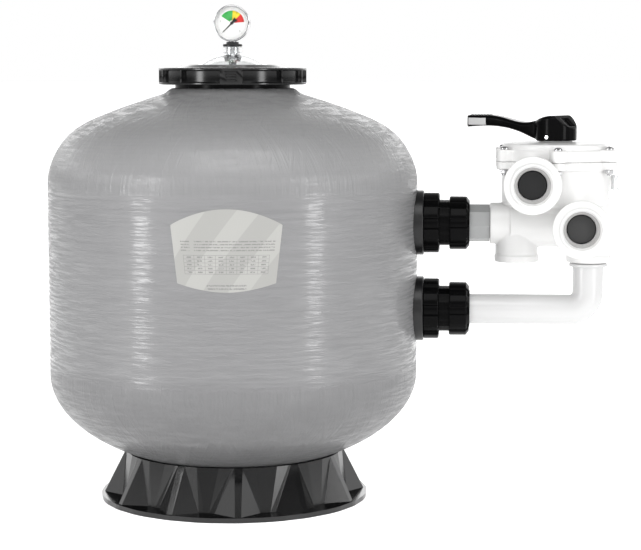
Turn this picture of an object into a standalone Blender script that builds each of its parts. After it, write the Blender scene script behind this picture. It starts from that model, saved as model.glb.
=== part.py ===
"""Side mount sand filter: wound tank on a fluted base, clear lid with gauge, side unions and multiport valve.

Metres, +Z up, -Y is the front, +X runs from the tank's axis towards the valve.
"""

import bpy
import bmesh
from math import acos, asin, atan2, cos, pi, radians, sin, sqrt, tan
from mathutils import Matrix, Vector

# Clearances
seat_gap = 0.0003
thread_gap = 0.0007
turning_gap = 0.0006
nut_bore_gap = 0.0012
neck_gap = 0.0009
ring_bore_gap = 0.0051

# Tank
tank_radius = 0.305
shell_wall = 0.006
cylinder_height = 0.330
bottom_dome_depth = 0.159
top_dome_height = 0.136
pole_above_floor = 0.051
neck_opening_radius = 0.096
neck_seat_margin = 0.003
polar_boss_radius = 0.110
polar_boss_shoulder = 0.0067
polar_boss_top_radius = 0.0997
polar_boss_rise = 0.0143
polar_boss_foot = 0.020

# Fluted base
flute_count = 12
flute_phase = radians(8.4)
base_foot_radius = 0.222
base_foot_thickness = 0.008
base_rim_radius = 0.181
base_rim_below_dome = 0.0026
base_wall = 0.0045
flute_crest_radius = 0.217
flute_valley_radius = 0.190
flute_crest_width = 0.010
cradle_inset = 0.0076
cradle_width = 0.019
cradle_thickness = 0.005

# Neck collar, lid and lock ring
collar_radius = 0.0985
collar_thread_radius = 0.1035
collar_shoulder_gap = 0.0006
collar_bore_radius = 0.084
collar_height = 0.0226
collar_flange_radius = 0.1045
collar_flange_thickness = 0.006
seal_radius = 0.094
seal_half_width = 0.0024
lid_flange_radius = 0.104
lid_flange_thickness = 0.0045
lid_lift_off_seal = 0.0006
lid_dome_radius = 0.092
lid_dome_rise = 0.028
lid_wall = 0.0045
lid_boss_radius = 0.0158
lid_boss_rise = 0.0095
lid_boss_drop = 0.015
ring_radius = 0.122
ring_height = 0.027
ring_flange_thickness = 0.0035
ring_recess_depth = 0.007
ring_rim_rise = 0.0056
ring_rim_radius = 0.081
ring_rim_foot_radius = 0.095
ring_lip_thickness = 0.0027
ring_window_clearance = 0.004
ring_rest_angle = radians(-84.15)
ring_rib_angles = (radians(-69.5), radians(-42), radians(42), radians(69.5), radians(90))
ring_rib_width = 0.003
grip_lobe_width = 0.036
grip_bar_width = 0.014
grip_bar_pitch = 0.0043
grip_bar_height = 0.0024
grip_lobe_proud = 0.0004
grip_bar_proud = 0.0012

# Pressure gauge
gauge_radius = 0.030
gauge_above_lid = 0.048
gauge_front_depth = 0.014
gauge_back_depth = 0.012
gauge_window_radius = 0.0268
gauge_pocket_radius = 0.0281
gauge_bezel_lip = 0.001
gauge_pocket_depth = 0.0067
gauge_edge_round = 0.002
gauge_case_wall = 0.002
gauge_cavity_radius = 0.0255
bourdon_radius = 0.017
bourdon_tube_radius = 0.0019
bourdon_setback = 0.003
dial_thickness = 0.0008
dial_hole_radius = 0.0016
pointer_thickness = 0.0008
pointer_lift = 0.0007
pointer_reach = 0.0215
pointer_tail = 0.010
pointer_tip_width = 0.0007
pointer_tail_width = 0.005
pointer_hub_radius = 0.0026
pointer_turn = radians(135)
arbor_radius = 0.0011
arbor_depth = 0.004
lens_thickness = 0.0016
stem_radius = 0.0066
stem_collar_radius = 0.0106
stem_collar_height = 0.0128
stem_into_case = 0.006
stem_below_collar = 0.017
adapter_disc_radius = 0.016
adapter_disc_thickness = 0.0044
adapter_neck_radius = 0.010

# Side fittings
lower_port_z = 0.317
port_spacing = 0.142
spacer_radius = 0.053
spacer_reach = 0.011
bulkhead_tube_radius = 0.0376
bulkhead_bore_radius = 0.021
bulkhead_flange_thickness = 0.008
bulkhead_flange_step = 0.006
bulkhead_gasket_thickness = 0.003
bulkhead_nut_width = 0.0255
bulkhead_nut_radius = 0.0503
bulkhead_nut_root = 0.0445
nut_lobe_count = 8
nut_lobe_angle = radians(24)
nut_lobe_phase = radians(20)
nut_end_round = 0.0025
exposed_thread = 0.0161
union_nut_radius = 0.0447
union_nut_root = 0.0415
union_nut_width = 0.033
union_nut_chamfer = 0.0055
union_nut_chamfer_drop = 0.0068
union_nut_lip = 0.0065
union_flange_radius = 0.0362
union_flange_thickness = 0.0055
union_seal_radius = 0.0315
union_seal_half_width = 0.0017
union_collar_radius = 0.0305
adapter_corner_radius = 0.0309
adapter_sides = 8
adapter_twist = radians(6.4)
adapter_showing = 0.0331
spigot_length = 0.020

# White pipe
pipe_radius = 0.025
pipe_wall = 0.003
pipe_bend_radius = 0.029
pipe_ring_radius = 0.0313
pipe_ring_thickness = 0.005
pipe_ring_below_collar = 0.002
pipe_into_valve = 0.018

# Valve
left_port_reach = 0.106
pipe_drop_offset = 0.055
chamber_radius = 0.087
chamber_wall = 0.009
chamber_floor_z = 0.497
chamber_floor_thickness = 0.008
flange_bottom_z = 0.5495
flange_thickness = 0.0125
flange_radius = 0.090
lug_circle_radius = 0.097
lug_radius = 0.013
lug_count = 6
lug_root_depth = 0.0025
lug_top_z = 0.582
cover_top_z = 0.592
cover_drum_radius = 0.0865
cover_drum_round = 0.009
cover_wall = 0.0085
cover_boss_radius = 0.015
cover_boss_drop = 0.023
cover_seal_radius = 0.0822
cover_seal_half_width = 0.0014
manifold_z = 0.4575
manifold_radius = 0.0375
manifold_reach = 0.073
port_collar_radius = 0.034
passage_radius = 0.0205
left_riser_offset = 0.038
right_stub_radius = 0.0365
down_port_offset = 0.062
down_port_radius = 0.036
stub_bottom_z = 0.396
down_port_depth = 0.032
front_port_face_y = -0.124
front_port_neck_radius = 0.0345
front_port_flare_radius = 0.0470
front_port_flare_y = -0.1125
front_port_lip_radius = 0.035
front_port_lip = 0.004
front_port_bore_radius = 0.0225
front_port_socket_radius = 0.0252
front_port_mouth_radius = 0.029
front_port_mouth_depth = 0.004
front_port_socket_depth = 0.020
upper_front_port_offset = 0.040
upper_front_port_z = 0.527
lower_front_port_offset = 0.038
side_boss_radius = 0.014
side_boss_reach = 0.004
side_boss_z = 0.5265

# Winged plug
plug_thread_radius = 0.0075
plug_thread_length = 0.012
plug_flange_radius = 0.013
plug_flange_thickness = 0.004
plug_seal_thickness = 0.0015
plug_seal_bore = 0.0086
wing_height = 0.029
wing_reach = 0.0155
wing_thickness = 0.003
wing_neck_height = 0.012
wing_round = 0.004

# Cover bolts
bolt_radius = 0.004
bolt_head_radius = 0.0072
bolt_head_height = 0.0044
bolt_hole_gap = 0.0004
bolt_past_nut = 0.003
nut_across_corners = 0.0150
nut_thickness = 0.0064

# Rotor, gasket, spring and slip washer
rotor_radius = 0.074
rotor_thickness = 0.010
rotor_hub_radius = 0.018
rotor_hub_height = 0.024
rotor_window_radius = 0.018
rotor_window_offset = 0.046
rotor_dome_height = 0.010
valve_stem_radius = 0.008
stem_above_pin = 0.011
gasket_thickness = 0.003
gasket_rim = 0.005
gasket_spoke = 0.005
gasket_hub_radius = 0.012
gasket_radius = 0.0755
spring_radius = 0.0122
spring_wire_radius = 0.0016
spring_turns = 3.5
slip_washer_radius = 0.027
slip_washer_thickness = 0.002

# Handle
lever_angle = radians(150)
handle_pin_height = 0.0060
handle_pin_radius = 0.003
handle_pin_gap = 0.0004
handle_pin_inset = 0.0012
handle_hub_radius = 0.0340
handle_length = 0.165
handle_top_height = 0.041
handle_waist_height = 0.0286
handle_crest_x = 0.110
handle_crest_height = 0.038
handle_tip_height = 0.0368
handle_under_points = ((0.062, 0.0133), (0.085, 0.0188), (0.115, 0.0218), (0.143, 0.0212))
handle_tip_under = 0.0192
handle_waist_x = 0.052
lever_waist_width = 0.036
lever_tip_width = 0.027
cam_half_width = 0.024
handle_slot_half_length = 0.013
handle_slot_gap = 0.0007
handle_slot_height = 0.027
heel_facet_top_x = 0.010
heel_facet_drop = 0.022
heel_window_depth = 0.0035
heel_window_width = 0.026

# Pipework inside the tank
inner_pipe_radius = 0.0205
inner_pipe_wall = 0.0025
inner_bend_radius = 0.045
inner_pipe_socket_depth = 0.018
inner_socket_gap = 0.0009
riser_below_neck = 0.0713
diffuser_radius = 0.058
diffuser_height = 0.030
diffuser_wall = 0.003
diffuser_socket_depth = 0.016
diffuser_slot_count = 4
diffuser_slot_width = 0.012
lateral_z = 0.118
hub_radius = 0.036
hub_height = 0.040
hub_socket_wall = 0.004
hub_socket_depth = 0.018
lateral_count = 8
lateral_radius = 0.0085
lateral_wall_gap = 0.0195
lateral_wall = 0.002
lateral_socket_depth = 0.010

# Facets
tank_segments = 32
ring_segments = 24
fitting_segments = 16
small_segments = 12
bolt_segments = 8
smallest_arc = 0.007
sharp_edge = radians(35)

# Places that follow from the sizes
bottom_dome_z = pole_above_floor + bottom_dome_depth
top_dome_z = bottom_dome_z + cylinder_height
upper_port_z = lower_port_z + port_spacing
spacer_face_x = tank_radius + spacer_reach
bulkhead_nut_x = spacer_face_x + seat_gap
union_start_x = bulkhead_nut_x + bulkhead_nut_width + exposed_thread
union_end_x = union_start_x + union_nut_width
left_port_face_x = union_end_x + adapter_showing
valve_x = left_port_face_x + left_port_reach
manifold_start_x = valve_x - manifold_reach
left_riser_x = valve_x - left_riser_offset
down_port_x = valve_x - down_port_offset
upper_front_port_x = valve_x - upper_front_port_offset
lower_front_port_x = valve_x + lower_front_port_offset
pipe_drop_x = valve_x + pipe_drop_offset
along_x = (0, pi / 2, 0)
facing_front = (pi / 2, 0, 0)


def clear_scene():
    for obj in list(bpy.data.objects):
        bpy.data.objects.remove(obj, do_unlink=True)


def new_collection(name):
    collection = bpy.data.collections.new(name)
    bpy.context.scene.collection.children.link(collection)
    return collection


def new_empty(name, parent=None, at=(0, 0, 0), turn=(0, 0, 0)):
    empty = bpy.data.objects.new(name, None)
    parts.objects.link(empty)
    empty.parent = parent
    empty.location = at
    empty.rotation_euler = turn
    return empty


def placed(name, mesh, parent, at, turn, tool):
    """An object in the filter's collection, or a hidden tool for a Boolean in the other one."""
    obj = bpy.data.objects.new(name, mesh)
    (cutters if tool else parts).objects.link(obj)
    obj.parent = parent
    obj.location = at
    obj.rotation_euler = turn
    if mesh.polygons:
        mesh.shade_smooth()
        mesh.set_sharp_from_angle(angle=sharp_edge)
    if tool:
        obj.hide_render = True
        obj.display_type = "WIRE"
    return obj


def mesh_of(name, shape):
    mesh = bpy.data.meshes.new(name)
    shape.to_mesh(mesh)
    shape.free()
    return mesh


def filleted(corners, closed, arc_steps=0):
    """Corner points (across, along[, radius]) with each stated radius turned into an arc, limited by its sides."""
    points = []
    last = len(corners) - 1
    for index, corner in enumerate(corners):
        here = Vector(corner[:2])
        radius = corner[2] if len(corner) > 2 else 0
        if radius <= 0 or (not closed and index in (0, last)):
            points.append(here)
            continue
        before = Vector(corners[index - 1][:2]) - here
        after = Vector(corners[0 if index == last else index + 1][:2]) - here
        half = before.angle(after) / 2
        reach = min(radius / tan(half), 0.48 * before.length, 0.48 * after.length)
        fitted = reach * tan(half)
        centre = here + (before.normalized() + after.normalized()).normalized() * fitted / sin(half)
        start = here + before.normalized() * reach - centre
        end = here + after.normalized() * reach - centre
        angle = atan2(start.y, start.x)
        sweep = (atan2(end.y, end.x) - angle + pi) % (2 * pi) - pi
        steps = arc_steps or (1 if fitted < smallest_arc else 2)
        for step in range(steps + 1):
            now = angle + sweep * step / steps
            points.append(centre + Vector((cos(now), sin(now))) * fitted)
    return points


def turned(name, corners, segments, parent, at=(0, 0, 0), turn=(0, 0, 0), tool=False, closed=True):
    """A profile of (radius, height) points, down the outer side, turned about local Z."""
    points = filleted(corners, closed)
    edges = [(i, i + 1) for i in range(len(points) - 1)]
    if closed:
        edges.append((len(points) - 1, 0))
    mesh = bpy.data.meshes.new(name)
    mesh.from_pydata([(p.x, 0, p.y) for p in points], edges, [])
    obj = placed(name, mesh, parent, at, turn, tool)
    screw = obj.modifiers.new("turn", "SCREW")
    screw.steps = segments
    screw.render_steps = segments
    screw.use_merge_vertices = not closed
    screw.merge_threshold = 0.00001
    return obj


def drum(name, radius, length, segments, parent, at=(0, 0, 0), turn=(0, 0, 0), tool=False):
    """A cylinder that starts at its origin and runs along local Z."""
    shape = bmesh.new()
    bmesh.ops.create_cone(
        shape, cap_ends=True, segments=segments, radius1=radius, radius2=radius, depth=length
    )
    bmesh.ops.translate(shape, verts=shape.verts, vec=(0, 0, length / 2))
    return placed(name, mesh_of(name, shape), parent, at, turn, tool)


def block(name, size, parent, at=(0, 0, 0), turn=(0, 0, 0), tool=False):
    """A box of this size about its origin."""
    shape = bmesh.new()
    bmesh.ops.create_cube(shape, size=1)
    bmesh.ops.scale(shape, verts=shape.verts, vec=size)
    return placed(name, mesh_of(name, shape), parent, at, turn, tool)


def mesh_from_curve(name, curve, parent, at, turn, tool):
    """The curve's evaluated mesh with its loose caps welded on."""
    guide = bpy.data.objects.new(name + "_guide", curve)
    cutters.objects.link(guide)
    bpy.context.view_layer.update()
    graph = bpy.context.evaluated_depsgraph_get()
    mesh = bpy.data.meshes.new_from_object(guide.evaluated_get(graph))
    bpy.data.objects.remove(guide, do_unlink=True)
    shape = bmesh.new()
    shape.from_mesh(mesh)
    bmesh.ops.remove_doubles(shape, verts=shape.verts, dist=0.000002)
    bmesh.ops.recalc_face_normals(shape, faces=shape.faces)
    shape.to_mesh(mesh)
    shape.free()
    mesh.name = name
    return placed(name, mesh, parent, at, turn, tool)


def plate(name, loops, thickness, parent, at=(0, 0, 0), turn=(0, 0, 0), tool=False):
    """A flat outline with its holes, extruded from its origin along local Z."""
    curve = bpy.data.curves.new(name, "CURVE")
    curve.dimensions = "2D"
    curve.fill_mode = "BOTH"
    curve.extrude = thickness / 2
    for loop in loops:
        spline = curve.splines.new("POLY")
        spline.points.add(len(loop) - 1)
        for point, place in zip(spline.points, loop):
            point.co = (place[0], place[1], 0, 1)
        spline.use_cyclic_u = True
    obj = mesh_from_curve(name, curve, parent, at, turn, tool)
    obj.data.transform(Matrix.Translation((0, 0, thickness / 2)))
    return obj


def rod(name, route, radius, sides, parent, at=(0, 0, 0), turn=(0, 0, 0), tool=False):
    """A round bar along a route of points, with closed ends."""
    curve = bpy.data.curves.new(name, "CURVE")
    curve.dimensions = "3D"
    curve.bevel_depth = radius
    curve.bevel_resolution = (sides - 4) // 2
    curve.use_fill_caps = True
    spline = curve.splines.new("POLY")
    spline.points.add(len(route) - 1)
    for point, place in zip(spline.points, route):
        point.co = (*place, 1)
    return mesh_from_curve(name, curve, parent, at, turn, tool)


def lofted(name, rings, parent, at=(0, 0, 0), turn=(0, 0, 0), joined_ends=False):
    """A skin over rings with as many points each. Its ends are capped, or the last ring joins the first."""
    size = len(rings[0])
    vertices = [tuple(point) for ring in rings for point in ring]
    count = len(rings) if joined_ends else len(rings) - 1
    faces = []
    for i in range(count):
        low = i * size
        high = ((i + 1) % len(rings)) * size
        for j in range(size):
            k = (j + 1) % size
            faces.append((low + j, low + k, high + k, high + j))
    if not joined_ends:
        faces.append(tuple(reversed(range(size))))
        faces.append(tuple(range(count * size, count * size + size)))
    mesh = bpy.data.meshes.new(name)
    mesh.from_pydata(vertices, [], faces)
    shape = bmesh.new()
    shape.from_mesh(mesh)
    bmesh.ops.recalc_face_normals(shape, faces=shape.faces)
    shape.to_mesh(mesh)
    shape.free()
    return placed(name, mesh, parent, at, turn, False)


def combine(obj, tool, operation):
    modifier = obj.modifiers.new(tool.name, "BOOLEAN")
    modifier.operation = operation
    modifier.solver = "EXACT"
    modifier.object = tool


def cut(obj, *tools):
    for tool in tools:
        combine(obj, tool, "DIFFERENCE")


def join(obj, *tools):
    for tool in tools:
        combine(obj, tool, "UNION")


def welded(obj):
    """Closes the hairline steps that many Booleans in a row leave."""
    modifier = obj.modifiers.new("weld", "WELD")
    modifier.merge_threshold = 0.00003


def keep_inside(obj, tool):
    combine(obj, tool, "INTERSECT")


def painted(obj, colour, roughness, metallic=0.0, see_through=0.0):
    material = bpy.data.materials.new(obj.name)
    material.use_nodes = True
    shader = material.node_tree.nodes["Principled BSDF"]
    shader.inputs["Base Color"].default_value = (*colour, 1)
    shader.inputs["Roughness"].default_value = roughness
    shader.inputs["Metallic"].default_value = metallic
    shader.inputs["Transmission Weight"].default_value = see_through
    material.diffuse_color = (*colour, 1)
    obj.data.materials.append(material)
    return obj


def on_circle(radius, angle, height=0.0):
    return (radius * cos(angle), radius * sin(angle), height)


def bent_route(start, corner, end, bend_radius, steps=4):
    """Two straight runs that meet at a corner, with an arc of this radius between them."""
    first = (Vector(start) - Vector(corner)).normalized()
    second = (Vector(end) - Vector(corner)).normalized()
    centre = Vector(corner) + (first + second) * bend_radius
    route = [Vector(start)]
    for step in range(steps + 1):
        angle = pi / 2 * step / steps
        route.append(centre - second * bend_radius * cos(angle) - first * bend_radius * sin(angle))
    route.append(Vector(end))
    return route


def seal_ring(name, radius, section, segments, parent, at=(0, 0, 0), turn=(0, 0, 0)):
    """A seal with a square section of twice this half width."""
    corners = [
        (radius - section, section),
        (radius + section, section),
        (radius + section, -section),
        (radius - section, -section),
    ]
    obj = turned(name, corners, segments, parent, at, turn)
    return painted(obj, (0.012, 0.012, 0.013), 0.6)


def top_dome(radius):
    return top_dome_z + top_dome_height * sqrt(1 - (radius / tank_radius) ** 2)


def bottom_dome(radius):
    return bottom_dome_z - bottom_dome_depth * sqrt(1 - (radius / tank_radius) ** 2)


def circle_loop(radius, segments, phase=0.0):
    return [on_circle(radius, phase + 2 * pi * step / segments)[:2] for step in range(segments)]


def dome_arc(centre_z, radius, height, start, end, steps):
    """Points of an elliptical dome between two angles above its widest circle."""
    angles = [start + (end - start) * step / steps for step in range(steps + 1)]
    return [(radius * cos(angle), centre_z + height * sin(angle)) for angle in angles]


cradle_outer_radius = base_rim_radius - cradle_inset
cradle_inner_radius = cradle_outer_radius - cradle_width
neck_seat_angle = acos((collar_flange_radius + neck_seat_margin) / (tank_radius - shell_wall))
neck_seat_z = top_dome_z + (top_dome_height - shell_wall) * sin(neck_seat_angle)
boss_top_z = top_dome(polar_boss_radius) + polar_boss_rise
collar_seat_z = boss_top_z + seat_gap
collar_top_z = collar_seat_z + collar_height
lid_bottom_z = collar_top_z + lid_lift_off_seal
lid_flange_top_z = lid_bottom_z + lid_flange_thickness
ring_top_z = lid_flange_top_z + seat_gap + ring_lip_thickness
lid_dome_top_z = lid_flange_top_z + lid_dome_rise
lid_boss_top_z = lid_dome_top_z + lid_boss_rise
gauge_z = lid_dome_top_z + gauge_above_lid


def build_tank():
    inner_radius = tank_radius - shell_wall
    foot_angle = acos((polar_boss_radius + polar_boss_foot) / tank_radius)
    profile = dome_arc(bottom_dome_z, inner_radius, shell_wall - bottom_dome_depth, pi / 2, 0, 4)
    profile += dome_arc(top_dome_z, inner_radius, top_dome_height - shell_wall, 0, neck_seat_angle, 3)
    profile += [
        (neck_opening_radius, neck_seat_z),
        (neck_opening_radius, boss_top_z),
        (polar_boss_top_radius, boss_top_z),
        (polar_boss_radius, boss_top_z - polar_boss_rise + polar_boss_shoulder),
    ]
    profile += dome_arc(top_dome_z, tank_radius, top_dome_height, foot_angle, 0, 5)
    outer_angle = acos(cradle_outer_radius / tank_radius)
    inner_angle = acos(cradle_inner_radius / tank_radius)
    profile += dome_arc(bottom_dome_z, tank_radius, -bottom_dome_depth, 0, outer_angle, 4)
    profile += dome_arc(bottom_dome_z, tank_radius, -bottom_dome_depth, inner_angle, pi / 2, 2)
    profile[0] = (0, profile[0][1])
    profile[-1] = (0, profile[-1][1])
    shell = turned("tank_shell", profile, tank_segments, filter_origin, closed=False)
    hole_radius = bulkhead_tube_radius + thread_gap
    for height in (lower_port_z, upper_port_z):
        hole = drum(
            "port_hole",
            hole_radius,
            9 * shell_wall,
            fitting_segments,
            filter_origin,
            (tank_radius - 6 * shell_wall, 0, height),
            along_x,
            True,
        )
        cut(shell, hole)
    painted(shell, (0.33, 0.33, 0.34), 0.3)


def flute_columns():
    """For each column of the skirt: angle at the rim, angle at the foot, and 0 on a crest or 1 in a valley."""
    pitch = 2 * pi / flute_count
    crest = flute_crest_width / flute_crest_radius / 2 / pitch
    columns = [(-crest, -crest, 0), (crest, crest, 0)]
    columns += [(0.09, 0.37, 1), (0.31, 0.46, 1), (0.69, 0.54, 1), (0.91, 0.63, 1)]
    for flute in range(flute_count):
        for rim, foot, depth in columns:
            start = flute_phase + flute * pitch
            yield start + rim * pitch, start + foot * pitch, depth


def build_base():
    """The skirt is ruled between a round rim and a star-shaped foot, so its section changes with the angle."""
    rim_z = bottom_dome(base_rim_radius) - base_rim_below_dome
    rings = []
    for rim_angle, foot_angle, depth in flute_columns():
        foot = flute_crest_radius + (flute_valley_radius - flute_crest_radius) * depth
        section = [
            (base_rim_radius, rim_z, 0),
            (cradle_outer_radius, bottom_dome(cradle_outer_radius) - seat_gap, 0),
            (cradle_inner_radius, bottom_dome(cradle_inner_radius) - seat_gap, 0),
            (cradle_inner_radius, bottom_dome(cradle_inner_radius) - seat_gap - cradle_thickness, 0),
            (base_rim_radius - base_wall, rim_z - base_wall - cradle_thickness, 0),
            (foot - base_wall, 0, 1),
            (base_foot_radius, 0, 1),
            (base_foot_radius, base_foot_thickness, 1),
            (foot, base_foot_thickness, 1),
        ]
        rings.append([on_circle(r, foot_angle if low else rim_angle, z) for r, z, low in section])
    base = lofted("filter_base", rings, filter_origin, joined_ends=True)
    painted(base, (0.015, 0.015, 0.016), 0.35)


def build_collar_and_seal():
    groove = seal_half_width + seat_gap
    groove_floor_z = lid_bottom_z - 2 * (seal_half_width + seat_gap)
    tube_radius = neck_opening_radius - neck_gap
    flange_top_z = neck_seat_z - seat_gap
    shoulder_z = ring_top_z - ring_height - collar_shoulder_gap
    collar = turned(
        "neck_collar",
        [
            (seal_radius + groove, collar_top_z),
            (collar_thread_radius, collar_top_z),
            (collar_thread_radius, shoulder_z),
            (collar_radius, shoulder_z),
            (collar_radius, collar_seat_z),
            (tube_radius, collar_seat_z),
            (tube_radius, flange_top_z),
            (collar_flange_radius, flange_top_z),
            (collar_flange_radius, flange_top_z - collar_flange_thickness),
            (collar_bore_radius, flange_top_z - collar_flange_thickness),
            (collar_bore_radius, collar_top_z),
            (seal_radius - groove, collar_top_z),
            (seal_radius - groove, groove_floor_z),
            (seal_radius + groove, groove_floor_z),
        ],
        ring_segments,
        filter_origin,
    )
    painted(collar, (0.015, 0.015, 0.016), 0.35)
    seal_z = lid_bottom_z - seat_gap - seal_half_width
    seal_ring("lid_seal", seal_radius, seal_half_width, ring_segments, filter_origin, (0, 0, seal_z))


def build_lid():
    centre_z = lid_dome_top_z - lid_dome_radius
    inner_radius = lid_dome_radius - lid_wall
    window = sqrt(lid_dome_radius**2 - (lid_flange_top_z - centre_z) ** 2)
    inner_window = sqrt(inner_radius**2 - (lid_bottom_z + lid_wall - centre_z) ** 2)
    outer_start = acos(lid_boss_radius / lid_dome_radius)
    outer_end = acos(window / lid_dome_radius)
    inner_start = acos(inner_window / inner_radius)
    inner_end = acos(lid_boss_radius / inner_radius)
    socket = stem_collar_radius + seat_gap
    bore = stem_radius + seat_gap
    socket_floor_z = lid_boss_top_z - stem_collar_height - seat_gap
    boss_bottom_z = lid_boss_top_z - lid_boss_rise - lid_boss_drop
    profile = [(socket, lid_boss_top_z), (lid_boss_radius, lid_boss_top_z)]
    profile += dome_arc(centre_z, lid_dome_radius, lid_dome_radius, outer_start, outer_end, 3)
    profile += [
        (lid_flange_radius, lid_flange_top_z),
        (lid_flange_radius, lid_bottom_z),
        (inner_window, lid_bottom_z),
    ]
    profile += dome_arc(centre_z, inner_radius, inner_radius, inner_start, inner_end, 2)
    profile += [
        (0.7 * lid_boss_radius, boss_bottom_z),
        (bore, boss_bottom_z),
        (bore, socket_floor_z),
        (socket, socket_floor_z),
    ]
    lid = turned("lid", profile, ring_segments, filter_origin)
    painted(lid, (0.9, 0.92, 0.93), 0.05, see_through=1.0)
    return window


def build_lock_ring(window):
    bottom_z = ring_top_z - ring_height
    under_lip_z = lid_flange_top_z + seat_gap
    lip_radius = window + ring_window_clearance
    recess_radius = ring_radius - ring_recess_depth
    bore = collar_thread_radius + ring_bore_gap
    turned_axis = new_empty("lock_ring_axis", filter_origin, turn=(0, 0, ring_rest_angle))
    ring = turned(
        "lock_ring",
        [
            (lip_radius, ring_top_z + 0.6 * ring_rim_rise),
            (ring_rim_radius, ring_top_z + ring_rim_rise),
            (ring_rim_foot_radius, ring_top_z + 0.0004),
            (ring_radius, ring_top_z),
            (ring_radius, ring_top_z - ring_flange_thickness),
            (recess_radius, ring_top_z - ring_flange_thickness - 0.001),
            (recess_radius, bottom_z + ring_flange_thickness + 0.001),
            (ring_radius, bottom_z + ring_flange_thickness),
            (ring_radius, bottom_z),
            (bore, bottom_z),
            (bore, under_lip_z),
            (lip_radius, under_lip_z),
        ],
        ring_segments,
        turned_axis,
    )
    middle_z = ring_top_z - ring_height / 2
    web_height = ring_height - ring_flange_thickness
    web_depth = ring_radius - bore - 0.004
    web_middle = ring_radius - 0.0012 - web_depth / 2
    for side in (0, pi):
        for way in ring_rib_angles:
            rib = block(
                "ring_rib",
                (web_depth, ring_rib_width, web_height),
                turned_axis,
                on_circle(web_middle, side + way, middle_z),
                (0, 0, side + way),
                True,
            )
            join(ring, rib)
        lobe_depth = web_depth + 0.0012 + grip_lobe_proud
        lobe_middle = ring_radius + grip_lobe_proud - lobe_depth / 2
        lobe = block(
            "grip_lobe",
            (lobe_depth, grip_lobe_width, web_height),
            turned_axis,
            on_circle(lobe_middle, side, middle_z),
            (0, 0, side),
            True,
        )
        join(ring, lobe)
        for row in range(4):
            bar_z = middle_z + (1.5 - row) * grip_bar_pitch
            bar = block(
                "grip_bar",
                (0.006, grip_bar_width, grip_bar_height),
                turned_axis,
                on_circle(ring_radius + grip_bar_proud - 0.003, side, bar_z),
                (0, 0, side),
                True,
            )
            join(ring, bar)
    painted(ring, (0.015, 0.015, 0.016), 0.3)


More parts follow.
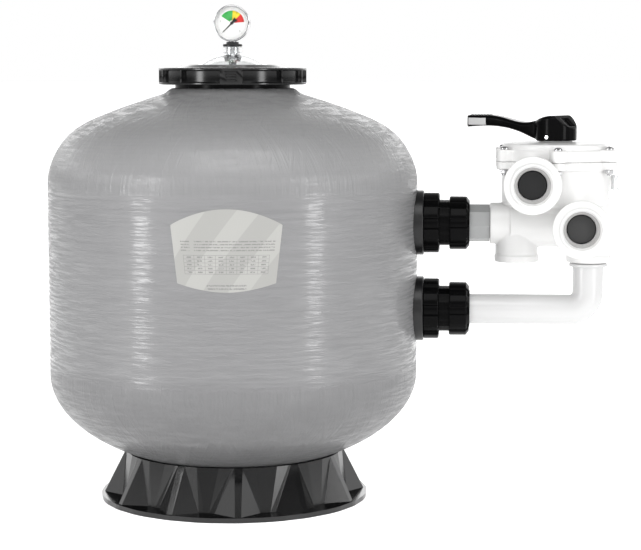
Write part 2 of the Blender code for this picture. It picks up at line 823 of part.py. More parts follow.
def build_gauge():
    axis = new_empty("gauge_axis", filter_origin, (0, 0, gauge_z), facing_front)
    floor = gauge_front_depth - gauge_pocket_depth
    lip = gauge_front_depth - gauge_bezel_lip
    back = gauge_case_wall - gauge_back_depth
    case = turned(
        "gauge_case",
        [
            (0, back),
            (gauge_cavity_radius, back),
            (gauge_cavity_radius, floor),
            (gauge_pocket_radius, floor),
            (gauge_pocket_radius, lip),
            (gauge_window_radius, lip),
            (gauge_window_radius, gauge_front_depth),
            (gauge_radius, gauge_front_depth, gauge_edge_round),
            (gauge_radius, -gauge_back_depth),
            (0, -gauge_back_depth),
        ],
        ring_segments,
        axis,
        closed=False,
    )
    disc_top_z = lid_boss_top_z + seat_gap + adapter_disc_thickness
    stem_top_z = gauge_z - gauge_radius + stem_into_case
    stem_hole = drum(
        "stem_hole",
        stem_radius + seat_gap,
        gauge_radius,
        small_segments,
        filter_origin,
        (0, 0, stem_top_z + seat_gap - gauge_radius),
        tool=True,
    )
    cut(case, stem_hole)
    painted(case, (0.55, 0.56, 0.58), 0.25, 1.0)

    dial_loops = [
        circle_loop(gauge_pocket_radius - seat_gap, ring_segments),
        circle_loop(dial_hole_radius, bolt_segments),
    ]
    dial = plate("gauge_dial", dial_loops, dial_thickness, axis, (0, 0, floor + seat_gap))
    painted(dial, (0.85, 0.85, 0.85), 0.5)

    lens = drum(
        "gauge_lens",
        gauge_pocket_radius - seat_gap,
        lens_thickness,
        ring_segments,
        axis,
        (0, 0, lip - seat_gap - lens_thickness),
    )
    painted(lens, (0.95, 0.95, 0.95), 0.03, see_through=1.0)

    needle_low = floor + seat_gap + dial_thickness + pointer_lift
    needle = [
        (-pointer_tail_width / 2, pointer_tail),
        (-pointer_tip_width / 2, -pointer_reach),
        (pointer_tip_width / 2, -pointer_reach),
        (pointer_tail_width / 2, pointer_tail),
    ]
    pointer = plate(
        "gauge_pointer",
        [[(-y, x) for x, y in needle]],
        pointer_thickness,
        axis,
        (0, 0, needle_low),
        (0, 0, -pointer_turn),
    )
    arbor = turned(
        "pointer_arbor",
        [
            (0, pointer_thickness + 0.0004),
            (pointer_hub_radius, pointer_thickness + 0.0004),
            (pointer_hub_radius, -0.0003),
            (arbor_radius, -0.0003),
            (arbor_radius, floor - needle_low - arbor_depth),
            (0, floor - needle_low - arbor_depth),
        ],
        bolt_segments,
        axis,
        (0, 0, needle_low),
        tool=True,
        closed=False,
    )
    join(pointer, arbor)
    painted(pointer, (0.01, 0.01, 0.01), 0.4)

    adapter = turned(
        "gauge_adapter",
        [
            (stem_radius + seat_gap, gauge_z - gauge_radius - seat_gap),
            (adapter_neck_radius, gauge_z - gauge_radius - seat_gap),
            (adapter_neck_radius + 0.001, disc_top_z),
            (adapter_disc_radius, disc_top_z),
            (adapter_disc_radius, lid_boss_top_z + seat_gap),
            (stem_radius + seat_gap, lid_boss_top_z + seat_gap),
        ],
        fitting_segments,
        filter_origin,
    )
    painted(adapter, (0.015, 0.015, 0.016), 0.35)

    stem_collar_top_z = lid_boss_top_z - seat_gap
    stem_collar_low_z = lid_boss_top_z - stem_collar_height
    stem = turned(
        "gauge_stem",
        [
            (0, stem_top_z),
            (stem_radius, stem_top_z),
            (stem_radius, stem_collar_top_z),
            (stem_collar_radius, stem_collar_top_z),
            (stem_collar_radius, stem_collar_low_z),
            (stem_radius, stem_collar_low_z),
            (stem_radius, stem_collar_low_z - stem_below_collar),
            (0, stem_collar_low_z - stem_below_collar),
        ],
        small_segments,
        filter_origin,
        closed=False,
    )
    painted(stem, (0.7, 0.68, 0.62), 0.2, 1.0)

    stem_end = stem_top_z - gauge_z + seat_gap
    route = [(0, stem_end, -bourdon_setback), (0, stem_end + 2 * bourdon_tube_radius, -bourdon_setback)]
    for step in range(10):
        angle = radians(-75 + 27 * step)
        route.append(on_circle(bourdon_radius, angle, -bourdon_setback))
    tube = rod("bourdon_tube", route, bourdon_tube_radius, 6, axis)
    painted(tube, (0.7, 0.5, 0.2), 0.3, 1.0)


def lobed_loop(outer, root, count, lobe_angle, phase):
    """The outline of a nut: round lobes with round roots between them."""
    loop = []
    pitch = 2 * pi / count
    for index in range(count):
        middle = phase + index * pitch
        loop.append(on_circle(outer, middle - lobe_angle / 2)[:2])
        loop.append(on_circle(outer, middle)[:2])
        loop.append(on_circle(outer, middle + lobe_angle / 2)[:2])
        loop.append(on_circle(root, middle + lobe_angle / 2 + 0.06 * pitch)[:2])
        loop.append(on_circle(root, middle + pitch - lobe_angle / 2 - 0.06 * pitch)[:2])
    return loop


def lobed_nut(name, corners, outer, root, low, width, parent, at):
    """A turned nut whose outside is cut back between its lobes."""
    nut = turned(name, corners, fitting_segments, parent, at, along_x)
    loop = lobed_loop(outer * 1.02, root, nut_lobe_count, nut_lobe_angle, nut_lobe_phase)
    start = (at[0] + low - 0.002, at[1], at[2])
    lobes = plate(name + "_lobes", [loop], width + 0.004, parent, start, along_x, True)
    keep_inside(nut, lobes)
    painted(nut, (0.013, 0.013, 0.014), 0.3)


def build_bulkhead(prefix, height, opening_radius):
    """The pieces that clamp through the tank wall and the union nut, on the axis of one side port."""
    place = (0, 0, height)
    inner_wall = tank_radius - shell_wall
    gasket_face = inner_wall - seat_gap
    flange_face = gasket_face - bulkhead_gasket_thickness - seat_gap
    tank_skin = drum(
        prefix + "_skin",
        tank_radius + seat_gap,
        4 * spacer_radius,
        tank_segments,
        filter_origin,
        (0, 0, height - 2 * spacer_radius),
        tool=True,
    )
    clear_radius = bulkhead_tube_radius + thread_gap
    nut_bore = bulkhead_tube_radius + nut_bore_gap
    spacer = turned(
        prefix + "_spacer",
        [
            (clear_radius, spacer_face_x),
            (spacer_radius, spacer_face_x),
            (spacer_radius, tank_radius - 4 * shell_wall),
            (clear_radius, tank_radius - 4 * shell_wall),
        ],
        fitting_segments,
        filter_origin,
        place,
        along_x,
    )
    cut(spacer, tank_skin)
    painted(spacer, (0.015, 0.015, 0.016), 0.4)

    gasket = turned(
        prefix + "_gasket",
        [
            (clear_radius, tank_radius),
            (spacer_radius, tank_radius),
            (spacer_radius, inner_wall - 3 * shell_wall),
            (clear_radius, inner_wall - 3 * shell_wall),
        ],
        fitting_segments,
        filter_origin,
        place,
        along_x,
    )
    outer_face = drum(
        prefix + "_gasket_outside",
        gasket_face,
        4 * spacer_radius,
        tank_segments,
        filter_origin,
        (0, 0, height - 2 * spacer_radius),
        tool=True,
    )
    inner_face = drum(
        prefix + "_gasket_inside",
        gasket_face - bulkhead_gasket_thickness,
        4.4 * spacer_radius,
        tank_segments,
        filter_origin,
        (0, 0, height - 2.2 * spacer_radius),
        tool=True,
    )
    keep_inside(gasket, outer_face)
    cut(gasket, inner_face)
    painted(gasket, (0.012, 0.012, 0.013), 0.7)

    nut_end = bulkhead_nut_x + bulkhead_nut_width
    flange_start = union_end_x - union_nut_lip - seat_gap - union_flange_thickness
    tube_end = flange_start - seat_gap
    flange_back = flange_face - bulkhead_flange_thickness - bulkhead_flange_step
    groove = union_seal_half_width + seat_gap
    groove_floor = tube_end - union_seal_half_width - groove
    socket = inner_pipe_radius + inner_socket_gap
    tube = turned(
        prefix + "_bulkhead_tube",
        [
            (union_seal_radius + groove, tube_end),
            (bulkhead_tube_radius, tube_end),
            (bulkhead_tube_radius, flange_back),
            (socket, flange_back),
            (socket, flange_back + inner_pipe_socket_depth),
            (bulkhead_bore_radius - 0.002, flange_back + inner_pipe_socket_depth),
            (bulkhead_bore_radius, tube_end),
            (union_seal_radius - groove, tube_end),
            (union_seal_radius - groove, groove_floor),
            (union_seal_radius + groove, groove_floor),
        ],
        fitting_segments,
        filter_origin,
        place,
        along_x,
    )
    flange = turned(
        prefix + "_flange",
        [
            (bulkhead_tube_radius - 0.004, tank_radius),
            (spacer_radius, tank_radius),
            (spacer_radius, flange_back),
            (bulkhead_tube_radius - 0.004, flange_back),
        ],
        fitting_segments,
        filter_origin,
        place,
        along_x,
        True,
    )
    flange_skin = drum(
        prefix + "_flange_skin",
        flange_face,
        4.2 * spacer_radius,
        tank_segments,
        filter_origin,
        (0, 0, height - 2.1 * spacer_radius),
        tool=True,
    )
    keep_inside(flange, flange_skin)
    join(tube, flange)
    painted(tube, (0.013, 0.013, 0.014), 0.35)

    lobed_nut(
        prefix + "_bulkhead_nut",
        [
            (nut_bore, nut_end),
            (bulkhead_nut_radius, nut_end, nut_end_round),
            (bulkhead_nut_radius, bulkhead_nut_x),
            (nut_bore, bulkhead_nut_x),
        ],
        bulkhead_nut_radius,
        bulkhead_nut_root,
        bulkhead_nut_x,
        bulkhead_nut_width,
        filter_origin,
        place,
    )
    lobed_nut(
        prefix + "_union_nut",
        [
            (opening_radius, union_end_x),
            (union_nut_radius - union_nut_chamfer_drop, union_end_x),
            (union_nut_radius, union_end_x - union_nut_chamfer),
            (union_nut_radius, union_start_x),
            (nut_bore, union_start_x),
            (nut_bore, union_end_x - union_nut_lip),
            (opening_radius, union_end_x - union_nut_lip),
        ],
        union_nut_radius,
        union_nut_root,
        union_start_x,
        union_nut_width,
        filter_origin,
        place,
    )
    seal_x = flange_start - seat_gap - union_seal_half_width
    seal_ring(
        prefix + "_union_seal",
        union_seal_radius,
        union_seal_half_width,
        fitting_segments,
        filter_origin,
        (seal_x, 0, height),
        along_x,
    )
    return flange_start


def build_union_adapter(flange_start):
    """The grey piece between the upper union and the valve: flange, eight-sided body and spigot."""
    face_x = left_port_face_x - seat_gap
    shoulder_x = flange_start + union_flange_thickness
    bore = passage_radius - 0.0015
    adapter = turned(
        "union_adapter",
        [
            (bore, left_port_face_x + spigot_length),
            (pipe_radius, left_port_face_x + spigot_length),
            (pipe_radius, shoulder_x),
            (union_flange_radius, shoulder_x),
            (union_flange_radius, flange_start),
            (bore, flange_start),
        ],
        fitting_segments,
        filter_origin,
        (0, 0, upper_port_z),
        along_x,
    )
    octagon = circle_loop(adapter_corner_radius, adapter_sides, adapter_twist)
    hole = circle_loop(pipe_radius - 0.002, fitting_segments)
    body_start = shoulder_x - 0.001
    body = plate(
        "adapter_body",
        [octagon, hole],
        face_x - body_start,
        filter_origin,
        (body_start, 0, upper_port_z),
        along_x,
        True,
    )
    join(adapter, body)
    painted(adapter, (0.42, 0.42, 0.42), 0.4)


def build_lower_pipe(flange_start):
    bore = pipe_radius + seat_gap
    tail_end = union_end_x + 0.001
    tail = turned(
        "lower_union_tail",
        [
            (bore, tail_end),
            (union_collar_radius, tail_end),
            (union_collar_radius, flange_start + union_flange_thickness),
            (union_flange_radius, flange_start + union_flange_thickness),
            (union_flange_radius, flange_start),
            (bore - 0.005, flange_start),
            (bore - 0.005, flange_start + 0.002),
            (bore, flange_start + 0.002),
        ],
        fitting_segments,
        filter_origin,
        (0, 0, lower_port_z),
        along_x,
    )
    painted(tail, (0.015, 0.015, 0.016), 0.35)
    start_x = flange_start + 0.002 + seat_gap
    corner = (pipe_drop_x, 0, lower_port_z)
    top = (pipe_drop_x, 0, stub_bottom_z + pipe_into_valve)
    pipe = rod(
        "lower_pipe",
        bent_route((start_x, 0, lower_port_z), corner, top, pipe_bend_radius),
        pipe_radius,
        fitting_segments,
        filter_origin,
    )
    ring_z = stub_bottom_z - pipe_ring_below_collar - pipe_ring_thickness
    ring = drum(
        "pipe_ring",
        pipe_ring_radius,
        pipe_ring_thickness,
        fitting_segments,
        filter_origin,
        (pipe_drop_x, 0, ring_z),
        tool=True,
    )
    past = 0.01
    hollow = rod(
        "pipe_bore",
        bent_route(
            (start_x - past, 0, lower_port_z), corner, (top[0], 0, top[2] + past), pipe_bend_radius
        ),
        pipe_radius - pipe_wall,
        10,
        filter_origin,
        tool=True,
    )
    join(pipe, ring)
    cut(pipe, hollow)
    painted(pipe, (0.8, 0.8, 0.79), 0.3)


def front_port(body, name, x, z, start_y):
    """A flared port that faces the front, joined to the valve body, and the bore that is cut from it later."""
    solid = turned(
        name,
        [
            (0, -front_port_face_y),
            (front_port_lip_radius, -front_port_face_y),
            (front_port_lip_radius + 0.001, -front_port_face_y - front_port_lip),
            (front_port_flare_radius, -front_port_flare_y + 0.004, 0.004),
            (front_port_flare_radius - 0.0015, -front_port_flare_y),
            (front_port_neck_radius, -front_port_flare_y - 0.001),
            (front_port_neck_radius, -start_y),
            (0, -start_y),
        ],
        fitting_segments,
        filter_origin,
        (x, 0, z),
        facing_front,
        True,
        False,
    )
    join(body, solid)


def front_bore(body, name, x, z, end_y):
    mouth = -front_port_face_y - front_port_mouth_depth
    socket = mouth - front_port_socket_depth
    hollow = turned(
        name,
        [
            (0, -front_port_face_y + 0.003),
            (front_port_mouth_radius + 0.002, -front_port_face_y + 0.003),
            (front_port_socket_radius + 0.001, mouth),
            (front_port_socket_radius, socket),
            (front_port_bore_radius, socket - 0.002),
            (front_port_bore_radius, -end_y),
            (0, -end_y),
        ],
        fitting_segments,
        filter_origin,
        (x, 0, z),
        facing_front,
        True,
        False,
    )
    cut(body, hollow)


def lug_plate(name, low_z, high_z):
    """A ring with six round lugs on short webs, as one tool."""
    loop = []
    root = chamber_radius - lug_root_depth
    inner = root - lug_root_depth
    spread = asin(lug_radius / root)
    pitch = 2 * pi / lug_count
    for index in range(lug_count):
        angle = -pi / 2 + pitch * index
        centre = Vector(on_circle(lug_circle_radius, angle))
        loop.append(on_circle(root, angle - spread)[:2])
        for step in range(7):
            point = centre + Vector(on_circle(lug_radius, angle - pi / 2 + pi * step / 6))
            loop.append((point.x, point.y))
        for step in range(3):
            loop.append(on_circle(root, angle + spread + (pitch - 2 * spread) * step / 3)[:2])
    hole = circle_loop(inner, ring_segments, pi / ring_segments)
    return plate(name, [loop, hole], high_z - low_z, valve_axis, (0, 0, low_z), tool=True)


def bolt_holes(body, low_z, high_z):
    circles = []
    for index in range(lug_count):
        centre = Vector(on_circle(lug_circle_radius, -pi / 2 + 2 * pi * index / lug_count))
        turns = [2 * pi * step / bolt_segments for step in range(bolt_segments)]
        corners = [centre + Vector(on_circle(bolt_radius + bolt_hole_gap, turn)) for turn in turns]
        circles.append([(point.x, point.y) for point in corners])
    past = 0.005
    cut(body, plate("bolt_holes", circles, high_z - low_z + 2 * past, valve_axis, (0, 0, low_z - past), tool=True))


def build_valve_body():
    flange_top_z = flange_bottom_z + flange_thickness
    underside_z = chamber_floor_z - chamber_floor_thickness
    body = turned(
        "valve_body",
        [
            (0, flange_top_z),
            (flange_radius, flange_top_z),
            (flange_radius, flange_bottom_z),
            (chamber_radius, flange_bottom_z),
            (chamber_radius, underside_z, 0.006),
            (0, underside_z),
        ],
        ring_segments,
        valve_axis,
        closed=False,
    )
    join(body, lug_plate("body_lugs", flange_bottom_z + 0.0002, flange_top_z - 0.0004))
    manifold_end = pipe_drop_x
    barrel = drum(
        "manifold",
        manifold_radius,
        manifold_end - manifold_start_x,
        fitting_segments,
        filter_origin,
        (manifold_start_x, 0, manifold_z),
        along_x,
        True,
    )
    left_collar = drum(
        "left_collar",
        port_collar_radius,
        manifold_start_x + 0.01 - left_port_face_x,
        fitting_segments,
        filter_origin,
        (left_port_face_x, 0, upper_port_z),
        along_x,
        True,
    )
    right_stub = drum(
        "right_stub",
        right_stub_radius,
        chamber_floor_z - stub_bottom_z,
        fitting_segments,
        filter_origin,
        (pipe_drop_x, 0, stub_bottom_z),
        tool=True,
    )
    down_stub = drum(
        "down_stub",
        down_port_radius,
        manifold_z - stub_bottom_z,
        fitting_segments,
        filter_origin,
        (down_port_x, 0, stub_bottom_z),
        tool=True,
    )
    neck_block = block(
        "manifold_neck",
        (2 * manifold_radius + 0.04, 1.7 * manifold_radius, underside_z - manifold_z + 0.002),
        valve_axis,
        (0, 0, (underside_z + manifold_z) / 2 + 0.0005),
        tool=True,
    )
    side_boss = drum(
        "side_boss",
        side_boss_radius,
        chamber_wall + side_boss_reach,
        small_segments,
        valve_axis,
        (chamber_radius - chamber_wall, 0, side_boss_z),
        along_x,
        True,
    )
    join(body, neck_block, barrel, left_collar, right_stub, down_stub, side_boss)
    front_port(body, "upper_front_port", upper_front_port_x, upper_front_port_z, -0.06)
    front_port(body, "lower_front_port", lower_front_port_x, manifold_z, -0.004)

    rebate = cover_seal_radius + cover_seal_half_width + seat_gap
    rebate_z = flange_top_z - 2 * cover_seal_half_width - seat_gap
    chamber = turned(
        "chamber",
        [
            (0, flange_top_z + 0.01),
            (rebate, flange_top_z + 0.01),
            (rebate, rebate_z),
            (chamber_radius - chamber_wall, rebate_z),
            (chamber_radius - chamber_wall, chamber_floor_z),
            (0, chamber_floor_z),
        ],
        ring_segments,
        valve_axis,
        tool=True,
        closed=False,
    )
    left_socket = drum(
        "left_socket",
        pipe_radius + seat_gap,
        spigot_length + 0.002 + 0.01,
        fitting_segments,
        filter_origin,
        (left_port_face_x - 0.01, 0, upper_port_z),
        along_x,
        True,
    )
    left_passage = drum(
        "left_passage",
        passage_radius,
        left_riser_x + 0.004 - left_port_face_x,
        small_segments,
        filter_origin,
        (left_port_face_x, 0, upper_port_z - 0.001),
        along_x,
        True,
    )
    left_riser = drum(
        "left_riser",
        passage_radius - 0.002,
        chamber_floor_z - manifold_z + 0.01,
        small_segments,
        filter_origin,
        (left_riser_x, 0, manifold_z),
        tool=True,
    )
    right_socket = drum(
        "right_socket",
        pipe_radius + seat_gap,
        pipe_into_valve + 0.002 + 0.01,
        fitting_segments,
        filter_origin,
        (pipe_drop_x, 0, stub_bottom_z - 0.01),
        tool=True,
    )
    right_riser = drum(
        "right_riser",
        passage_radius - 0.002,
        chamber_floor_z - stub_bottom_z + 0.01,
        small_segments,
        filter_origin,
        (pipe_drop_x - 0.002, 0, stub_bottom_z),
        tool=True,
    )
    down_bore = drum(
        "down_bore",
        front_port_bore_radius,
        down_port_depth + 0.01,
        fitting_segments,
        filter_origin,
        (down_port_x, 0, stub_bottom_z - 0.01),
        tool=True,
    )
    plug_hole = drum(
        "plug_hole",
        plug_thread_radius + thread_gap,
        2 * plug_thread_length,
        small_segments,
        valve_axis,
        (chamber_radius - chamber_wall - 0.006, 0, side_boss_z),
        along_x,
        True,
    )
    cut(body, chamber, left_socket, left_passage, left_riser)
    cut(body, right_socket, right_riser, down_bore, plug_hole)
    front_bore(body, "upper_front_bore", upper_front_port_x, upper_front_port_z, -0.055)
    front_bore(body, "lower_front_bore", lower_front_port_x, manifold_z, -0.002)
    bolt_holes(body, flange_bottom_z, flange_top_z)
    welded(body)
    painted(body, (0.8, 0.8, 0.79), 0.3)


def build_valve_cover():
    low_z = flange_bottom_z + flange_thickness + seat_gap
    roof_z = cover_top_z - cover_wall
    stem_bore = valve_stem_radius + turning_gap
    boss_bottom_z = roof_z - cover_boss_drop
    cover = turned(
        "valve_cover",
        [
            (stem_bore, cover_top_z),
            (cover_drum_radius, cover_top_z, cover_drum_round),
            (cover_drum_radius, lug_top_z - 0.002),
            (flange_radius, lug_top_z - 0.004),
            (flange_radius, low_z),
            (chamber_radius - chamber_wall, low_z),
            (chamber_radius - chamber_wall, roof_z),
            (cover_boss_radius, roof_z),
            (cover_boss_radius, boss_bottom_z),
            (stem_bore, boss_bottom_z),
        ],
        ring_segments,
        valve_axis,
    )
    join(cover, lug_plate("cover_lugs", low_z + 0.0004, lug_top_z))
    bolt_holes(cover, low_z, lug_top_z)
    painted(cover, (0.8, 0.8, 0.79), 0.3)
    seal_z = low_z - seat_gap - cover_seal_half_width
    seal_ring(
        "cover_seal", cover_seal_radius, cover_seal_half_width, ring_segments, valve_axis, (0, 0, seal_z)
    )
    return boss_bottom_z


def build_cover_bolts():
    """Each screw carries its nut, tightened under the lug, in one node."""
    head_low = lug_top_z + seat_gap
    nut_top = flange_bottom_z - seat_gap
    end_z = nut_top - nut_thickness - bolt_past_nut
    for index in range(lug_count):
        angle = -pi / 2 + 2 * pi * index / lug_count
        place = on_circle(lug_circle_radius, angle)
        bolt = turned(
            f"cover_bolt_{index + 1}",
            [
                (0, head_low + bolt_head_height),
                (0.6 * bolt_head_radius, head_low + bolt_head_height),
                (bolt_head_radius, head_low + 0.5 * bolt_head_height),
                (bolt_head_radius, head_low),
                (bolt_radius, head_low),
                (bolt_radius, end_z),
                (0, end_z),
            ],
            bolt_segments,
            valve_axis,
            place,
            closed=False,
        )
        nut = drum(
            "cover_nut",
            nut_across_corners / 2,
            nut_thickness,
            6,
            valve_axis,
            (place[0], place[1], nut_top - nut_thickness),
            tool=True,
        )
        join(bolt, nut)
        painted(bolt, (0.5, 0.5, 0.5), 0.3, 1.0)


def build_rotor(cover_boss_bottom_z):
    pin_z = cover_top_z + seat_gap + slip_washer_thickness + seat_gap + handle_pin_height
    disc_low = chamber_floor_z + seat_gap + gasket_thickness + seat_gap
    disc_top = disc_low + rotor_thickness
    hub_top = disc_top + rotor_hub_height
    rotor = turned(
        "rotor",
        [
            (0, pin_z + stem_above_pin),
            (valve_stem_radius, pin_z + stem_above_pin),
            (valve_stem_radius, hub_top),
            (rotor_hub_radius, hub_top),
            (rotor_hub_radius + 0.004, disc_top),
            (rotor_radius, disc_top),
            (rotor_radius, disc_low),
            (0, disc_low),
        ],
        ring_segments,
        valve_axis,
        closed=False,
    )
    window = drum(
        "rotor_window",
        rotor_window_radius,
        3 * rotor_thickness,
        small_segments,
        valve_axis,
        on_circle(rotor_window_offset, lever_angle, disc_low - rotor_thickness),
        tool=True,
    )
    dome = drum(
        "rotor_dome",
        rotor_window_radius + 0.006,
        rotor_thickness - 0.001 + rotor_dome_height,
        small_segments,
        valve_axis,
        on_circle(rotor_window_offset, lever_angle + pi, disc_low + 0.001),
        tool=True,
    )
    pocket = drum(
        "rotor_pocket",
        rotor_window_radius,
        rotor_thickness + rotor_dome_height - 0.004 + 0.01,
        small_segments,
        valve_axis,
        on_circle(rotor_window_offset, lever_angle + pi, disc_low - 0.01),
        tool=True,
    )
    pin_hole = drum(
        "rotor_pin_hole",
        handle_pin_radius + handle_pin_gap,
        4 * valve_stem_radius,
        12,
        lever_axis,
        (0, 2 * valve_stem_radius, pin_z),
        facing_front,
        True,
    )
    join(rotor, dome)
    cut(rotor, pocket, window, pin_hole)
    painted(rotor, (0.06, 0.06, 0.065), 0.5)

    hub_angle = 2 * asin(gasket_spoke / 2 / gasket_hub_radius)
    rim_inner = gasket_radius - gasket_rim
    rim_angle = 2 * asin(gasket_spoke / 2 / rim_inner)
    loops = [circle_loop(gasket_radius, ring_segments)]
    sector = 2 * pi / lug_count
    for index in range(lug_count):
        start = index * sector
        loop = []
        for step in range(4):
            span = sector - rim_angle
            loop.append(on_circle(rim_inner, start + rim_angle / 2 + span * step / 3)[:2])
        for step in range(3):
            span = sector - hub_angle
            loop.append(on_circle(gasket_hub_radius, start + sector - hub_angle / 2 - span * step / 2)[:2])
        loops.append(loop)
    gasket = plate(
        "rotor_gasket", loops, gasket_thickness, valve_axis, (0, 0, chamber_floor_z + seat_gap)
    )
    painted(gasket, (0.012, 0.012, 0.013), 0.7)

    spring_low = hub_top + seat_gap + spring_wire_radius
    spring_high = cover_boss_bottom_z - seat_gap - spring_wire_radius
    steps = round(spring_turns * 7)
    route = []
    for step in range(steps + 1):
        share = step / steps
        height = spring_low + (spring_high - spring_low) * share
        route.append(on_circle(spring_radius, 2 * pi * spring_turns * share, height))
    spring = rod("rotor_spring", route, spring_wire_radius, 6, valve_axis)
    painted(spring, (0.6, 0.6, 0.6), 0.25, 1.0)

    washer_low = cover_top_z + seat_gap
    washer = turned(
        "slip_washer",
        [
            (valve_stem_radius + turning_gap, washer_low + slip_washer_thickness),
            (slip_washer_radius, washer_low + slip_washer_thickness),
            (slip_washer_radius, washer_low),
            (valve_stem_radius + turning_gap, washer_low),
        ],
        fitting_segments,
        valve_axis,
    )
    painted(washer, (0.75, 0.75, 0.73), 0.4)
    return pin_z


def smooth_between(x, stops):
    """A value that eases from one (place, value) stop to the next."""
    if x <= stops[0][0]:
        return stops[0][1]
    for (x0, v0), (x1, v1) in zip(stops, stops[1:]):
        if x <= x1:
            share = (x - x0) / (x1 - x0)
            ease = share * share * (3 - 2 * share)
            return v0 + (v1 - v0) * ease
    return stops[-1][1]


def straight_between(x, stops):
    """A value on the straight lines from one (place, value) stop to the next."""
    if x <= stops[0][0]:
        return stops[0][1]
    for (x0, v0), (x1, v1) in zip(stops, stops[1:]):
        if x <= x1:
            return v0 + (v1 - v0) * (x - x0) / (x1 - x0)
    return stops[-1][1]


def handle_section(x):
    """A rounded rectangle across the lever at one place along it, relative to the pin."""
    low = -handle_pin_height
    neck_x = 0.85 * handle_hub_radius
    top = smooth_between(
        x,
        [
            (-handle_hub_radius, low + 0.93 * handle_top_height),
            (-0.2 * handle_hub_radius, low + handle_top_height),
            (handle_waist_x, low + handle_waist_height),
            (handle_crest_x, low + handle_crest_height),
            (handle_length, low + handle_tip_height),
        ],
    )
    low_places = [(cam_half_width, 0), *handle_under_points, (handle_length, handle_tip_under)]
    under = low + straight_between(x, low_places)
    half = smooth_between(
        x, [(neck_x, lever_waist_width / 2), (0.6 * handle_length, lever_tip_width / 2)]
    )
    if x < neck_x:
        half = max(half if x > 0 else 0, sqrt(max(handle_hub_radius**2 - x * x, 0.000036)))
    tip_left = handle_length - x
    tip_round = lever_tip_width / 2
    if tip_left < tip_round:
        half = min(half, sqrt(max(tip_round**2 - (tip_round - tip_left) ** 2, 0.000016)))
    corner = min(0.006, 0.45 * half, 0.35 * (top - under))
    flat = min(0.002, 0.3 * half) if x < cam_half_width else corner
    ring = [(half, top, corner), (-half, top, corner), (-half, under, flat), (half, under, flat)]
    return [(x, point.x, point.y) for point in filleted(ring, True, 2)]


def build_handle(pin_z):
    hub = handle_hub_radius
    stations = [-hub * cos(pi / 2 * step / 4) for step in range(5)]
    stations[0] = -hub + 0.0002
    stations += [0.35 * hub, 0.7 * hub, cam_half_width + 0.0001, 0.95 * hub]
    tip_start = handle_length - lever_tip_width / 2
    stations += [handle_waist_x, handle_crest_x, tip_start] + [place for place, _ in handle_under_points]
    stations += [handle_length - lever_tip_width / 2 * (1 - sin(pi / 2 * step / 3)) for step in (1, 2)]
    stations.append(handle_length - 0.0002)
    stations = sorted(set(round(place, 6) for place in stations))
    handle = lofted(
        "handle", [handle_section(place) for place in stations], lever_axis, (0, 0, pin_z)
    )
    slot_top = handle_slot_height - handle_pin_height
    slot = block(
        "handle_slot",
        (2 * handle_slot_half_length, 2 * (valve_stem_radius + handle_slot_gap), handle_slot_height + 0.01),
        lever_axis,
        (0, 0, pin_z + slot_top - (handle_slot_height + 0.01) / 2),
        tool=True,
    )
    pin_hole = drum(
        "handle_pin_hole",
        handle_pin_radius + handle_pin_gap,
        4 * hub,
        12,
        lever_axis,
        (0, 2 * hub, pin_z),
        facing_front,
        True,
    )
    top_z = pin_z + handle_top_height - handle_pin_height
    slope = atan2(heel_facet_drop, hub - heel_facet_top_x)
    facet = block(
        "heel_facet",
        (4 * hub, 4 * hub, 2 * hub),
        lever_axis,
        (
            -heel_facet_top_x + sin(slope) * -hub,
            0,
            top_z + cos(slope) * hub,
        ),
        (0, -slope, 0),
        True,
    )
    facet_middle = -(heel_facet_top_x + hub) / 2
    window = block(
        "heel_window",
        (0.6 * (hub - heel_facet_top_x) / cos(slope), heel_window_width, 2 * heel_window_depth),
        lever_axis,
        (facet_middle, 0, top_z - heel_facet_drop / 2),
        (0, -slope, 0),
        True,
    )
    cut(handle, facet, window, slot, pin_hole)
    painted(handle, (0.012, 0.012, 0.013), 0.25)
    pin_half = hub - handle_pin_inset
    pin = drum(
        "handle_pin",
        handle_pin_radius,
        2 * pin_half,
        12,
        lever_axis,
        (0, pin_half, pin_z),
        facing_front,
    )
    painted(pin, (0.75, 0.75, 0.76), 0.2, 1.0)


